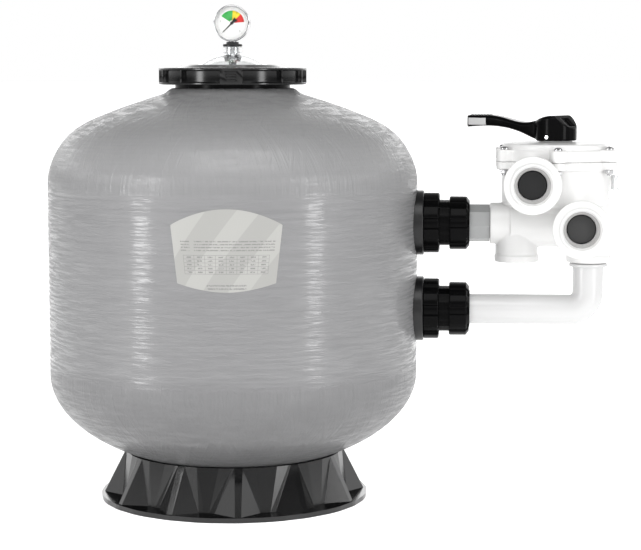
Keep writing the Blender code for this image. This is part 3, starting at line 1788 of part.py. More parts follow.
def build_wing_plug():
    """The plug's axis runs along +X; its wing stands upright at rest."""
    boss_face = chamber_radius + side_boss_reach
    seal_low = boss_face + seat_gap
    flange_low = seal_low + plug_seal_thickness + seat_gap
    flange_high = flange_low + plug_flange_thickness
    place = (0, 0, side_boss_z)
    plug = turned(
        "wing_plug",
        [
            (0, flange_high),
            (plug_flange_radius, flange_high, 0.001),
            (plug_flange_radius, flange_low, 0.001),
            (plug_thread_radius, flange_low),
            (plug_thread_radius, boss_face - plug_thread_length),
            (0, boss_face - plug_thread_length),
        ],
        small_segments,
        valve_axis,
        place,
        along_x,
        closed=False,
    )
    tip = flange_low + wing_reach + 0.001
    loop = filleted(
        [
            (flange_high - 0.002, -wing_neck_height / 2),
            (flange_high + 0.002, -wing_neck_height / 2, 0.001),
            (flange_high + 0.006, -wing_height / 2, wing_round),
            (tip, -wing_height / 2, wing_round),
            (tip, wing_height / 2, wing_round),
            (flange_high + 0.006, wing_height / 2, wing_round),
            (flange_high + 0.002, wing_neck_height / 2, 0.001),
            (flange_high - 0.002, wing_neck_height / 2),
        ],
        True,
    )
    wing = plate(
        "wing",
        [[(p.x, p.y) for p in loop]],
        wing_thickness,
        valve_axis,
        (0, wing_thickness / 2, side_boss_z),
        facing_front,
        True,
    )
    join(plug, wing)
    painted(plug, (0.75, 0.77, 0.78), 0.15, see_through=0.6)
    seal = turned(
        "plug_seal",
        [
            (plug_seal_bore, seal_low + plug_seal_thickness),
            (plug_flange_radius - 0.001, seal_low + plug_seal_thickness),
            (plug_flange_radius - 0.001, seal_low),
            (plug_seal_bore, seal_low),
        ],
        small_segments,
        valve_axis,
        place,
        along_x,
    )
    painted(seal, (0.012, 0.012, 0.013), 0.7)
    return valve_x + tip


def inner_pipe(name, height, end_z):
    """A bent pipe from a side port to the tank's axis, then up or down."""
    flange_face = tank_radius - shell_wall - bulkhead_gasket_thickness - 2 * seat_gap
    flange_back = flange_face - bulkhead_flange_thickness - bulkhead_flange_step
    start_x = flange_back + inner_pipe_socket_depth - seat_gap
    corner = (0, 0, height)
    pipe = rod(
        name,
        bent_route((start_x, 0, height), corner, (0, 0, end_z), inner_bend_radius),
        inner_pipe_radius,
        small_segments,
        filter_origin,
    )
    past = 0.01 if end_z > height else -0.01
    hollow = rod(
        name + "_bore",
        bent_route((start_x + 0.01, 0, height), corner, (0, 0, end_z + past), inner_bend_radius),
        inner_pipe_radius - inner_pipe_wall,
        8,
        filter_origin,
        tool=True,
    )
    cut(pipe, hollow)
    painted(pipe, (0.7, 0.7, 0.69), 0.4)


def build_internals():
    riser_top_z = neck_seat_z - riser_below_neck
    inner_pipe("inlet_pipe", upper_port_z, riser_top_z)
    socket_low_z = riser_top_z - diffuser_socket_depth
    socket = inner_pipe_radius + inner_socket_gap
    dish_low_z = riser_top_z + 0.004
    dish_top_z = riser_top_z + diffuser_height
    diffuser = turned(
        "diffuser",
        [
            (0, dish_top_z),
            (diffuser_radius, dish_top_z - 0.008),
            (diffuser_radius, dish_low_z + 0.008),
            (socket + diffuser_wall, dish_low_z),
            (socket + diffuser_wall, socket_low_z),
            (socket, socket_low_z),
            (socket, riser_top_z + seat_gap),
            (inner_pipe_radius - 0.003, riser_top_z + seat_gap),
            (inner_pipe_radius - 0.003, dish_low_z + diffuser_wall),
            (diffuser_radius - diffuser_wall, dish_low_z + 0.008 + diffuser_wall),
            (diffuser_radius - diffuser_wall, dish_top_z - 0.008 - diffuser_wall),
            (0, dish_top_z - 0.002 - diffuser_wall),
        ],
        fitting_segments,
        filter_origin,
        closed=False,
    )
    slot_z = (dish_low_z + dish_top_z) / 2
    for index in range(diffuser_slot_count):
        angle = 2 * pi * (index + 0.5) / diffuser_slot_count
        slot = block(
            "diffuser_slot",
            (4 * diffuser_wall, diffuser_slot_width, 0.006),
            filter_origin,
            on_circle(diffuser_radius, angle, slot_z),
            (0, 0, angle),
            True,
        )
        cut(diffuser, slot)
    painted(diffuser, (0.02, 0.02, 0.021), 0.5)

    hub_top_z = lateral_z + hub_height / 2
    hub_bottom_z = lateral_z - hub_height / 2
    socket_top_z = hub_top_z + hub_socket_depth
    inner_pipe("outlet_pipe", lower_port_z, hub_top_z + seat_gap)
    hub = turned(
        "lateral_hub",
        [
            (0, hub_bottom_z + hub_socket_wall),
            (inner_pipe_radius - 0.004, hub_bottom_z + hub_socket_wall),
            (inner_pipe_radius - 0.004, hub_top_z),
            (socket, hub_top_z),
            (socket, socket_top_z),
            (socket + hub_socket_wall, socket_top_z),
            (socket + hub_socket_wall, hub_top_z + 0.002),
            (hub_radius, hub_top_z - 0.002),
            (hub_radius, hub_bottom_z),
            (0, hub_bottom_z),
        ],
        small_segments,
        filter_origin,
        closed=False,
    )
    hub_wall_start = hub_radius - lateral_socket_depth
    lateral_start = hub_wall_start + seat_gap
    drop = (bottom_dome_z - lateral_z + lateral_radius) / (bottom_dome_depth - shell_wall)
    lateral_end = (tank_radius - shell_wall) * sqrt(1 - drop**2) - lateral_wall_gap
    lateral_length = lateral_end - lateral_start
    for index in range(lateral_count):
        angle = 2 * pi * index / lateral_count
        turn = (0, pi / 2, angle)
        hole = drum(
            "lateral_hole",
            lateral_radius + seat_gap,
            0.03,
            8,
            filter_origin,
            on_circle(hub_wall_start, angle, lateral_z),
            turn,
            True,
        )
        cut(hub, hole)
        lateral = turned(
            f"lateral_{index + 1}",
            [
                (0, lateral_length),
                (lateral_radius, lateral_length),
                (lateral_radius, 0),
                (lateral_radius - lateral_wall, 0),
                (lateral_radius - lateral_wall, lateral_length - lateral_wall),
                (0, lateral_length - lateral_wall),
            ],
            8,
            filter_origin,
            on_circle(lateral_start, angle, lateral_z),
            turn,
            closed=False,
        )
        painted(lateral, (0.02, 0.02, 0.021), 0.5)
    painted(hub, (0.02, 0.02, 0.021), 0.5)


clear_scene()
parts = new_collection("side_mount_sand_filter")
cutters = new_collection("cutters")
filter_origin = new_empty("filter_origin")
valve_axis = new_empty("valve_axis", filter_origin, (valve_x, 0, 0))
lever_axis = new_empty("lever_axis", valve_axis, turn=(0, 0, lever_angle))

build_tank()
build_base()
build_collar_and_seal()
lid_window = build_lid()
build_lock_ring(lid_window)
build_gauge()
upper_flange_x = build_bulkhead("upper", upper_port_z, adapter_corner_radius + nut_bore_gap)
lower_flange_x = build_bulkhead("lower", lower_port_z, union_collar_radius + nut_bore_gap)
build_union_adapter(upper_flange_x)
build_lower_pipe(lower_flange_x)
build_valve_body()
cover_boss_z = build_valve_cover()
build_cover_bolts()
handle_pin_z = build_rotor(cover_boss_z)
build_handle(handle_pin_z)
farthest_x = build_wing_plug()
build_internals()

# The origin is the bottom centre of the whole filter's box
filter_origin.location = ((tank_radius - farthest_x) / 2, 0, 0)
bpy.context.view_layer.update()
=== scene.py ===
from math import acos, asin, atan2, cos, pi, radians, sin, sqrt, tan

import bmesh
import bpy
from mathutils import Euler, Matrix, Vector


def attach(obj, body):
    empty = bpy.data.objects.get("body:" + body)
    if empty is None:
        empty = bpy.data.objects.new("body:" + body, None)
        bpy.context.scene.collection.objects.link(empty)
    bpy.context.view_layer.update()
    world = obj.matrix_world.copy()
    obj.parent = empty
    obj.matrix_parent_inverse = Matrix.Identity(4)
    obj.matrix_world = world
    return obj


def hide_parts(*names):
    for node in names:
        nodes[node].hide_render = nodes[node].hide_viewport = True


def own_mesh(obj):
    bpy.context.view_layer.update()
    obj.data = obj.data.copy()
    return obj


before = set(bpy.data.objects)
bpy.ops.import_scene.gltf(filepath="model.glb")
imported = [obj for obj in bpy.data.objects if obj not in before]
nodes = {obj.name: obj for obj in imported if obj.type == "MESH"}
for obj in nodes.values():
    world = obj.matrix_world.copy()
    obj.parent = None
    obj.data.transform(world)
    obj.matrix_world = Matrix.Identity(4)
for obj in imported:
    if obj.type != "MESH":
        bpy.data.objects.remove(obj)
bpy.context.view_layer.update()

# Places in the frame, in metres
tank_x = -0.1673
valve_x = 0.3627
upper_z = 0.459
lower_z = 0.317
lever_angle = radians(150)
tank_axis = Matrix.Translation((tank_x, 0, 0))
valve_axis = Matrix.Translation((valve_x, 0, 0))
along_x = Matrix.Rotation(pi / 2, 4, "Y")
to_front = Matrix.Rotation(pi / 2, 4, "X")


# Materials


def new_material(name, colour, roughness, **inputs):
    material = bpy.data.materials.new(name)
    material.use_nodes = True
    shader = material.node_tree.nodes["Principled BSDF"]
    shader.inputs["Base Color"].default_value = (*colour, 1)
    shader.inputs["Roughness"].default_value = roughness
    for key, value in inputs.items():
        shader.inputs[key.replace("_", " ")].default_value = value
    return material


class Nodes:
    """Short calls for building a material's node tree."""

    def __init__(self, material):
        self.tree = material.node_tree
        self.shader = self.tree.nodes["Principled BSDF"]

    def add(self, kind, **settings):
        node = self.tree.nodes.new(kind)
        for key, value in settings.items():
            setattr(node, key, value)
        return node

    def link(self, source, target):
        if isinstance(source, (int, float)):
            target.default_value = source
        else:
            self.tree.links.new(source, target)

    def math(self, operation, a, b=0.0, c=0.0):
        node = self.add("ShaderNodeMath", operation=operation)
        for value, socket in zip((a, b, c), node.inputs):
            self.link(value, socket)
        return node.outputs[0]

    def times(self, a, b):
        return self.math("MULTIPLY", a, b)

    def plus(self, a, b):
        return self.math("ADD", a, b)

    def place(self):
        coordinates = self.add("ShaderNodeTexCoord")
        split = self.add("ShaderNodeSeparateXYZ")
        self.link(coordinates.outputs["Object"], split.inputs[0])
        return split.outputs

    def vector(self, x, y, z=0.0):
        node = self.add("ShaderNodeCombineXYZ")
        for value, socket in zip((x, y, z), node.inputs):
            self.link(value, socket)
        return node.outputs[0]

    def noise(self, vector, scale, detail=2.0, roughness=0.5):
        node = self.add("ShaderNodeTexNoise")
        self.link(vector, node.inputs["Vector"])
        node.inputs["Scale"].default_value = scale
        node.inputs["Detail"].default_value = detail
        node.inputs["Roughness"].default_value = roughness
        return node.outputs["Fac"]

    def ramp(self, value, low, high, start=0.0, end=1.0):
        node = self.add("ShaderNodeMapRange")
        node.clamp = True
        self.link(value, node.inputs["Value"])
        for key, number in (("From Min", low), ("From Max", high), ("To Min", start), ("To Max", end)):
            node.inputs[key].default_value = number
        return node.outputs[0]

    def mix(self, factor, first, second):
        node = self.add("ShaderNodeMix", data_type="RGBA")
        self.link(factor, node.inputs[0])
        for value, socket in ((first, node.inputs[6]), (second, node.inputs[7])):
            if isinstance(value, tuple):
                socket.default_value = (*value, 1)
            else:
                self.tree.links.new(value, socket)
        return node.outputs[2]

    def bump(self, height, strength, distance, target="Normal"):
        node = self.add("ShaderNodeBump")
        node.inputs["Strength"].default_value = strength
        node.inputs["Distance"].default_value = distance
        self.link(height, node.inputs["Height"])
        self.tree.links.new(node.outputs[0], self.shader.inputs[target])
        return node


def grained(material, scale, strength):
    """A fine moulded grain."""
    grain_depth = 0.0002
    tools = Nodes(material)
    coordinates = tools.add("ShaderNodeTexCoord")
    tools.bump(tools.noise(coordinates.outputs["Object"], scale, 3.0), strength, grain_depth)
    return material


def wound_fibre():
    """Grey wound glass fibre under gloss: level hoops round the middle, slanting bands over both domes."""
    material = new_material(
        "wound_fibre", (0.31, 0.31, 0.315), 0.25, Coat_Weight=0.8, Coat_Roughness=0.045, Coat_IOR=1.45,
    )
    tools = Nodes(material)
    x, y, z = tools.place()
    angle = tools.math("ARCTAN2", y, x)
    radius = tools.math("SQRT", tools.plus(tools.times(x, x), tools.times(y, y)))
    # level hoops: fine across the height, long around, with a wavering edge
    around = tools.times(angle, 4)
    up = tools.times(z, 190)
    wander = tools.noise(tools.vector(tools.times(angle, 7), tools.times(z, 30)), 1.0, 2.0)
    hoops = tools.noise(tools.vector(around, tools.plus(up, tools.times(wander, 3)), 0.0), 1.0, 4.0, 0.62)
    ridges = tools.noise(tools.vector(tools.times(angle, 0.8), tools.times(z, 150)), 1.0, 1.0)
    hoops = tools.plus(hoops, tools.times(ridges, 0.7))
    # crossing bands over the domes
    turn = tools.times(angle, 34)
    lean = tools.times(radius, 60)
    left = tools.noise(tools.vector(tools.plus(turn, lean), tools.times(radius, 5)), 1.0, 4.0, 0.6)
    right = tools.noise(
        tools.vector(tools.math("SUBTRACT", turn, lean), tools.times(radius, 5), 9.0), 1.0, 4.0, 0.6
    )
    bands = tools.math("MAXIMUM", left, right)
    # heights over which the hoops set in below and give way above
    hoops_start, hoops_end = (0.218, 0.236), (0.526, 0.512)
    middle = tools.times(tools.ramp(z, *hoops_start), tools.ramp(z, *hoops_end))
    factor = tools.add("ShaderNodeMix", data_type="FLOAT")
    tools.link(middle, factor.inputs[0])
    tools.link(bands, factor.inputs[2])
    tools.link(hoops, factor.inputs[3])
    height = factor.outputs[0]
    deep = tools.times(height, tools.math("MULTIPLY_ADD", middle, -2.0, 3.0))
    tools.bump(deep, 0.5, 0.0016)
    tools.bump(deep, 0.5, 0.0009, "Coat Normal")
    gloss = tools.noise(tools.vector(tools.times(angle, 5), tools.times(z, 260), 4.0), 1.0, 2.0, 0.6)
    worn = tools.times(
        tools.ramp(gloss, 0.46, 0.58, 0.12, 1.0), tools.math("MULTIPLY_ADD", middle, 0.5, 0.5),
    )
    tools.link(worn, tools.shader.inputs["Coat Weight"])
    blotch = tools.noise(tools.vector(x, y, z), 9.0, 4.0)
    tone = tools.plus(tools.times(tools.ramp(height, 0.3, 0.9), 0.5), tools.times(blotch, 0.5))
    colour = tools.mix(tone, (0.155, 0.155, 0.158), (0.215, 0.215, 0.219))
    # painted highlight: the colour turns lighter grey over the upper dome, where the light falls on it
    colour = tools.mix(tools.ramp(z, 0.5, 0.57, 0.0, 0.75), colour, (0.28, 0.28, 0.283))
    # painted shade: the colour turns darker grey over the lower dome, where shade falls under the tank
    colour = tools.mix(tools.ramp(z, 0.24, 0.14), colour, (0.115, 0.115, 0.117))
    tools.link(colour, tools.shader.inputs["Base Color"])
    matt = tools.ramp(tools.noise(tools.vector(x, y, z), 30.0, 3.0), 0.3, 0.7, 0.4, 0.52)
    tools.link(matt, tools.shader.inputs["Roughness"])
    return material


def label_print():
    """A plain silver-grey label with pale slanting wedges, grey rules for its text and a ruled table."""
    material = new_material("label_print", (0.6, 0.59, 0.56), 0.35)
    tools = Nodes(material)
    coordinates = tools.add("ShaderNodeUVMap")
    split = tools.add("ShaderNodeSeparateXYZ")
    tools.link(coordinates.outputs[0], split.inputs[0])
    u, v = split.outputs[0], split.outputs[1]

    def band(value, low, high):
        return tools.times(tools.math("GREATER_THAN", value, low), tools.math("LESS_THAN", value, high))

    def area(u0, u1, v0, v1):
        return tools.times(band(u, u0, u1), band(v, v0, v1))

    def cell(value, count, low, high):
        return tools.math("FRACT", tools.times(tools.math("SUBTRACT", value, low), count / (high - low)))

    def stripes(value, count, share, low, high):
        return tools.math("LESS_THAN", cell(value, count, low, high), share)

    def broken(areas, share):
        return tools.times(areas, tools.math("GREATER_THAN", words, share))

    slant = tools.plus(u, tools.times(v, -0.55))
    wedge = tools.math("LESS_THAN", tools.math("FRACT", tools.times(slant, 2.1)), 0.45)
    colour = tools.mix(wedge, (0.33, 0.329, 0.315), (0.38, 0.378, 0.362))
    ink = (0.17, 0.17, 0.17)
    words = tools.noise(tools.vector(tools.times(u, 95), tools.times(v, 40)), 1.0, 0.0)
    text_low, text_high = 0.575, 0.72
    foot_low, foot_high = 0.1, 0.18
    table_left, table_right, table_low, table_high = 0.09, 0.905, 0.29, 0.52
    columns, rows = 8, 5
    lines = broken(stripes(v, 4, 0.42, text_low, text_high), 0.43)
    paragraph = tools.times(lines, area(0.2, 0.95, text_low, text_high))
    head = tools.times(lines, area(0.075, 0.16, text_low, text_high))
    foot = tools.times(
        broken(stripes(v, 2, 0.5, foot_low, foot_high), 0.43), area(0.3, 0.7, foot_low, foot_high),
    )
    across = stripes(v, rows, 0.1, table_low, table_high)
    upright = stripes(u, columns, 0.035, table_left, table_right)
    table = area(table_left, 0.909, table_low, 0.525)
    table = tools.times(tools.math("MAXIMUM", across, upright), table)
    cells = tools.times(
        band(cell(v, rows, table_low, table_high), 0.35, 0.75),
        band(cell(u, columns, table_left, table_right), 0.3, 0.75),
    )
    cells = broken(tools.times(cells, area(table_left, table_right, table_low, table_high)), 0.4)
    marks = paragraph
    for more in (head, foot, table, cells):
        marks = tools.math("MAXIMUM", marks, more)
    tools.link(tools.mix(tools.times(marks, 0.75), colour, ink), tools.shader.inputs["Base Color"])
    return material


fibre = wound_fibre()
label_material = label_print()
black = grained(
    new_material("black_plastic", (0.003, 0.003, 0.0032), 0.18, Specular_IOR_Level=0.05), 900, 0.1,
)
ring_black = grained(
    new_material("black_ring", (0.004, 0.004, 0.0042), 0.16, Specular_IOR_Level=0.42), 900, 0.1,
)
base_black = grained(
    new_material("black_base", (0.003, 0.003, 0.0033), 0.2, Specular_IOR_Level=0.55), 700, 0.2,
)
black_matt = grained(
    new_material("black_plastic_matt", (0.006, 0.006, 0.0065), 0.34, Specular_IOR_Level=0.4), 700, 0.2,
)
white = grained(new_material("white_plastic", (0.71, 0.708, 0.702), 0.28), 500, 0.06)
pipe_white = new_material("white_pipe", (0.6, 0.6, 0.6), 0.22)
grey = grained(new_material("grey_plastic", (0.32, 0.325, 0.325), 0.35), 600, 0.1)
clear = new_material("clear_lid", (0.97, 0.98, 0.98), 0.04, IOR=1.49, Transmission_Weight=1.0)
milky = new_material("milky_plastic", (0.93, 0.94, 0.95), 0.2, IOR=1.46, Transmission_Weight=0.3)
glass = new_material("gauge_glass", (1.0, 1.0, 1.0), 0.0, IOR=1.1, Transmission_Weight=1.0)
steel = new_material("steel", (0.66, 0.66, 0.67), 0.22, Metallic=1.0)
bezel_steel = new_material("bezel_steel", (0.78, 0.78, 0.79), 0.14, Metallic=1.0)
copper = new_material("copper", (0.6, 0.45, 0.3), 0.3, Metallic=1.0)
# painted shade: grey for the threads in the port sockets, near black for the liner that stands for the
# unlit depth of the lower port's bore
painted_shade_grey = new_material("painted_shade_grey", (0.4, 0.395, 0.39), 0.4)
painted_shade_dark = new_material("painted_shade_dark", (0.03, 0.03, 0.03), 0.6)
plate_grey = new_material("plate_grey", (0.55, 0.55, 0.55), 0.25)
dial_white = new_material("dial_white", (0.88, 0.88, 0.87), 0.5)
ink = new_material("dial_ink", (0.01, 0.01, 0.01), 0.5)
green = new_material("dial_green", (0.05, 0.42, 0.09), 0.5)
yellow = new_material("dial_yellow", (0.85, 0.68, 0.03), 0.5)
red = new_material("dial_red", (0.72, 0.035, 0.03), 0.5)
rubber = new_material("rubber", (0.012, 0.012, 0.013), 0.6)


# Shapes


def filleted(corners, closed, steps=6):
    """Corner points (across, along[, radius]) with each stated radius turned into an arc."""
    points = []
    last = len(corners) - 1
    for index, corner in enumerate(corners):
        here = Vector(corner[:2])
        radius = corner[2] if len(corner) > 2 else 0
        if radius <= 0 or (not closed and index in (0, last)):
            points.append(here)
            continue
        before = Vector(corners[index - 1][:2]) - here
        after = Vector(corners[0 if index == last else index + 1][:2]) - here
        half = before.angle(after) / 2
        reach = min(radius / tan(half), 0.48 * before.length, 0.48 * after.length)
        fitted = reach * tan(half)
        centre = here + (before.normalized() + after.normalized()).normalized() * fitted / sin(half)
        start = here + before.normalized() * reach - centre
        end = here + after.normalized() * reach - centre
        angle = atan2(start.y, start.x)
        sweep = (atan2(end.y, end.x) - angle + pi) % (2 * pi) - pi
        for step in range(steps + 1):
            now = angle + sweep * step / steps
            points.append(centre + Vector((cos(now), sin(now))) * fitted)
    return points


def rings_mesh(rings, closed_profile):
    """Rings of as many points each; a ring of one point is a pole."""
    shape = bmesh.new()
    made = [[shape.verts.new(point) for point in ring] for ring in rings]
    pairs = list(zip(made, made[1:]))
    if closed_profile:
        pairs.append((made[-1], made[0]))
    for low, high in pairs:
        size = max(len(low), len(high))
        for i in range(size):
            j = (i + 1) % size
            face = []
            for vertex in (
                low[i % len(low)],
                low[j % len(low)],
                high[j % len(high)],
                high[i % len(high)],
            ):
                if vertex not in face:
                    face.append(vertex)
            if len(face) > 2:
                shape.faces.new(face)
    if not closed_profile:
        for ring in (made[0], made[-1]):
            if len(ring) > 2:
                shape.faces.new(ring)
    bmesh.ops.recalc_face_normals(shape, faces=shape.faces)
    return shape


def lathe(corners, segments=96, closed=True, radius_at=None):
    """A profile of (radius, height[, fillet]) turned about Z. radius_at may reshape each ring."""
    rings = []
    for point in filleted(corners, closed):
        if point.x < 1e-6:
            rings.append([(0, 0, point.y)])
            continue
        ring = []
        for step in range(segments):
            angle = 2 * pi * step / segments
            radius = radius_at(angle, point.x) if radius_at else point.x
            ring.append((radius * cos(angle), radius * sin(angle), point.y))
        rings.append(ring)
    return rings_mesh(rings, closed)


def drum(radius, low, high, segments=64):
    return lathe([(0, high), (radius, high), (radius, low), (0, low)], segments, False)


def swept(route, radius, sides=40):
    """A round bar along a route in the XZ plane."""
    rings = []
    for index, here in enumerate(route):
        before = route[max(index - 1, 0)]
        after = route[min(index + 1, len(route) - 1)]
        way = (Vector(after) - Vector(before)).normalized()
        side = Vector((0, 1, 0))
        up = way.cross(side)
        ring = []
        for step in range(sides):
            angle = 2 * pi * step / sides
            ring.append(Vector(here) + (side * cos(angle) + up * sin(angle)) * radius)
        rings.append(ring)
    return rings_mesh(rings, False)


def slab(outline, low, high):
    """An outline extruded between two heights."""
    rings = [[(x, y, z) for x, y in outline] for z in (low, high)]
    return rings_mesh(rings, False)


def brick(size, matrix):
    shape = bmesh.new()
    bmesh.ops.create_cube(shape, size=1)
    bmesh.ops.scale(shape, verts=shape.verts, vec=size)
    bmesh.ops.transform(shape, matrix=matrix, verts=shape.verts)
    return shape


def moved(shape, matrix):
    bmesh.ops.transform(shape, matrix=matrix, verts=shape.verts)
    return shape


def merged(shapes):
    total = bmesh.new()
    for shape in shapes:
        mesh = bpy.data.meshes.new("part")
        shape.to_mesh(mesh)
        shape.free()
        total.from_mesh(mesh)
        bpy.data.meshes.remove(mesh)
    return total


def loose(name, shape):
    mesh = bpy.data.meshes.new(name)
    shape.to_mesh(mesh)
    shape.free()
    obj = bpy.data.objects.new(name, mesh)
    bpy.context.scene.collection.objects.link(obj)
    return obj


def applied(obj):
    """Replaces the object's mesh with its modified one."""
    graph = bpy.context.evaluated_depsgraph_get()
    mesh = bpy.data.meshes.new_from_object(obj.evaluated_get(graph))
    obj.modifiers.clear()
    obj.data = mesh
    return obj


def shaped(name, base, adds=(), cuts=(), voxel=0.0, rounds=0, bevel=0.0, share=1.0):
    """base with shapes joined and cut, then either bevelled or remeshed and smoothed like a moulding."""
    obj = loose(name, base)
    tools = []
    for shape, operation in [(s, "UNION") for s in adds] + [(s, "DIFFERENCE") for s in cuts]:
        tool = loose(name + "_tool", shape)
        tools.append(tool)
        step = obj.modifiers.new("cut", "BOOLEAN")
        step.operation = operation
        step.solver = "MANIFOLD"
        step.object = tool
    if voxel:
        remesh = obj.modifiers.new("remesh", "REMESH")
        remesh.mode = "VOXEL"
        remesh.voxel_size = voxel
        smooth = obj.modifiers.new("smooth", "SMOOTH")
        smooth.factor = 0.5
        smooth.iterations = rounds
    if share < 1:
        fewer = obj.modifiers.new("fewer", "DECIMATE")
        fewer.ratio = share
    if bevel:
        edge = obj.modifiers.new("bevel", "BEVEL")
        edge.width = bevel
        edge.segments = 2
        edge.limit_method = "ANGLE"
        edge.angle_limit = radians(40)
    bpy.context.view_layer.update()
    applied(obj)
    for tool in tools:
        bpy.data.objects.remove(tool, do_unlink=True)
    return obj


def taken(obj):
    """The shape of a helper piece, which is removed."""
    shape = bmesh.new()
    shape.from_mesh(obj.data)
    bpy.data.objects.remove(obj, do_unlink=True)
    return shape


def dress(obj, material, body, stands_for=(), sharp=35):
    """Shades, paints and attaches a piece. Every piece here is made in the row frame."""
    obj.data.materials.clear()
    obj.data.materials.append(material)
    obj.data.shade_smooth()
    if sharp:
        obj.data.set_sharp_from_angle(angle=radians(sharp))
    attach(obj, body)
    if stands_for:
        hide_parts(*stands_for)
    return obj


def piece(name, shape, material, body, *stands_for, at=None, sharp=35):
    if at is not None:
        moved(shape, at)
    return dress(loose(name, shape), material, body, stands_for, sharp)


def repaint(name, material, bevel=0.0):
    """Keeps a CAD node as it is, with a new material and rounded edges."""
    obj = nodes[name]
    obj.data.materials.clear()
    obj.data.materials.append(material)
    if bevel:
        edge = obj.modifiers.new("bevel", "BEVEL")
        edge.width = bevel
        edge.segments = 3
        edge.limit_method = "ANGLE"
        edge.angle_limit = radians(20)
        edge.harden_normals = True
    return obj


def on_circle(radius, angle, z=0.0):
    return Vector((radius * cos(angle), radius * sin(angle), z))


def turned_to(radius, angle, z):
    """A place on a circle round Z, turned to face outwards."""
    return Matrix.Translation(on_circle(radius, angle, z)) @ Matrix.Rotation(angle, 4, "Z")


# Tank


def spline_profile(points, steps=6):
    """A smooth run through measured (radius, height) points."""
    result = []
    for i in range(len(points) - 1):
        p0 = Vector(points[max(i - 1, 0)])
        p1, p2 = Vector(points[i]), Vector(points[i + 1])
        p3 = Vector(points[min(i + 2, len(points) - 1)])
        for step in range(steps):
            t = step / steps
            squared = 2 * p0 - 5 * p1 + 4 * p2 - p3
            cubed = 3 * p1 - p0 - 3 * p2 + p3
            result.append(0.5 * (2 * p1 + (p2 - p0) * t + squared * t**2 + cubed * t**3))
    result.append(Vector(points[-1]))
    return [tuple(p) for p in result]


tank_r = 0.3047
wall_top, wall_foot = 0.522, 0.212
low_dome_z, low_dome_depth = 0.210, 0.1588
inner_r, inner_depth = 0.2985, 0.153
inner_top_r, inner_top_z, inner_top_height, neck_r = 0.299, 0.535, 0.1355, 0.115
shoulder = [
    (0.128, 0.6655), (0.156, 0.6563), (0.186, 0.6460), (0.213, 0.6355), (0.234, 0.6265), (0.252, 0.6165),
    (0.265, 0.6070), (0.275, 0.5970), (0.283, 0.5870), (0.2892, 0.5770), (0.2945, 0.5670), (0.2985, 0.5570),
    (0.3018, 0.5470), (0.3040, 0.5350), (tank_r, wall_top),
]
profile = [
    (0.096, 0.66), (0.096, 0.6793), (0.0985, 0.6793), (0.1015, 0.6785), (0.106, 0.6757), (0.111, 0.6716),
    (0.117, 0.6688), (0.1225, 0.6671),
]
profile += spline_profile(shoulder)
for step in range(1, 24):
    profile.append((tank_r, wall_top - (wall_top - wall_foot) * step / 24))
for step in range(40):
    angle = pi / 2 * step / 39
    profile.append((tank_r * cos(angle), low_dome_z - low_dome_depth * sin(angle)))
profile[-1] = (0, low_dome_z - low_dome_depth)
inner = [(0, 0.0572)]
for step in range(1, 13):
    angle = pi / 2 * (1 - step / 12)
    inner.append((inner_r * cos(angle), low_dome_z - inner_depth * sin(angle)))
for step in range(1, 13):
    angle = acos(neck_r / inner_top_r) * step / 12
    inner.append((inner_top_r * cos(angle), inner_top_z + inner_top_height * sin(angle)))
fitting_r = 0.0383
holes = []
for z in (lower_z, upper_z):
    holes.append(moved(drum(fitting_r, 0.27, 0.33), Matrix.Translation((0, 0, z)) @ along_x))
tank = shaped("tank_wound", lathe(inner + profile, 192, False), cuts=holes)
tank.location.x = tank_x
dress(tank, fibre, "filter", ["tank_shell"], 25)

# Label, bent round the tank
half_width, low_edge, high_edge, arch = 0.0859, 0.3883, 0.4763, 0.501
narrowing, sag, bow = 0.12, 0.0135, 0.9
print_low, print_height = 0.3667, 0.1234
label_lift = 0.0002
shape = bmesh.new()
columns, rows = 48, 20
uv_layer = shape.loops.layers.uv.new("UVMap")
label_angle = radians(-84.97)
grid = []
for i in range(columns + 1):
    share = 2 * i / columns - 1
    top = high_edge + (arch - high_edge) * cos(share * pi / 2) ** bow
    bottom = low_edge - sag * cos(share * pi / 2) ** bow
    grid.append([])
    for j in range(rows + 1):
        z = bottom + (top - bottom) * j / rows
        width = half_width * (1 - narrowing + narrowing * (z - low_edge) / (high_edge - low_edge))
        angle = label_angle + share * width / tank_r
        vertex = shape.verts.new(on_circle(tank_r + label_lift, angle, z))
        grid[-1].append((vertex, (share + 1) / 2, (z - print_low) / print_height))
for i in range(columns):
    for j in range(rows):
        ring = [grid[i][j], grid[i + 1][j], grid[i + 1][j + 1], grid[i][j + 1]]
        face = shape.faces.new([corner[0] for corner in ring])
        for loop, corner in zip(face.loops, ring):
            loop[uv_layer].uv = corner[1:]
piece("label", shape, label_material, "filter", at=tank_axis, sharp=0)

# Base and collar
repaint("filter_base", base_black, 0.0016)
collar = [
    (0.084, 0.7038), (0.1033, 0.7038, 0.0008), (0.1033, 0.6873, 0.001), (0.0948, 0.6868),
    (0.0945, 0.6545, 0.001), (0.084, 0.6545, 0.001),
]
piece("collar", lathe(collar), black, "filter", "neck_collar", at=tank_axis)

# Lid: a clear dome with a threaded boss
dome_outer, dome_inner, boss_r = 0.092, 0.0875, 0.0158
dome_c = 0.73711 - dome_outer


def dome_arc(radius, first_r, last_r, steps=20):
    """Points along the lid's dome from one distance from its axis to another."""
    start, end = acos(first_r / radius), acos(last_r / radius)
    angles = [start + (end - start) * step / steps for step in range(steps + 1)]
    return [(radius * cos(angle), dome_c + radius * sin(angle)) for angle in angles]


lid_profile = [(0.0109, 0.7466), (boss_r, 0.7466, 0.0012)]
lid_profile += dome_arc(dome_outer, boss_r, 0.0661)
lid_profile += [(0.104, 0.7091, 0.0006), (0.104, 0.7046, 0.0006), (0.0613, 0.7046, 0.001)]
lid_profile += dome_arc(dome_inner, 0.0605, boss_r)
lid_profile += [(0.012, 0.7225, 0.001), (0.0069, 0.7225), (0.0069, 0.7335), (0.0109, 0.7335)]
piece("lid_clear", lathe(lid_profile, 96), clear, "lid", "lid", at=tank_axis)

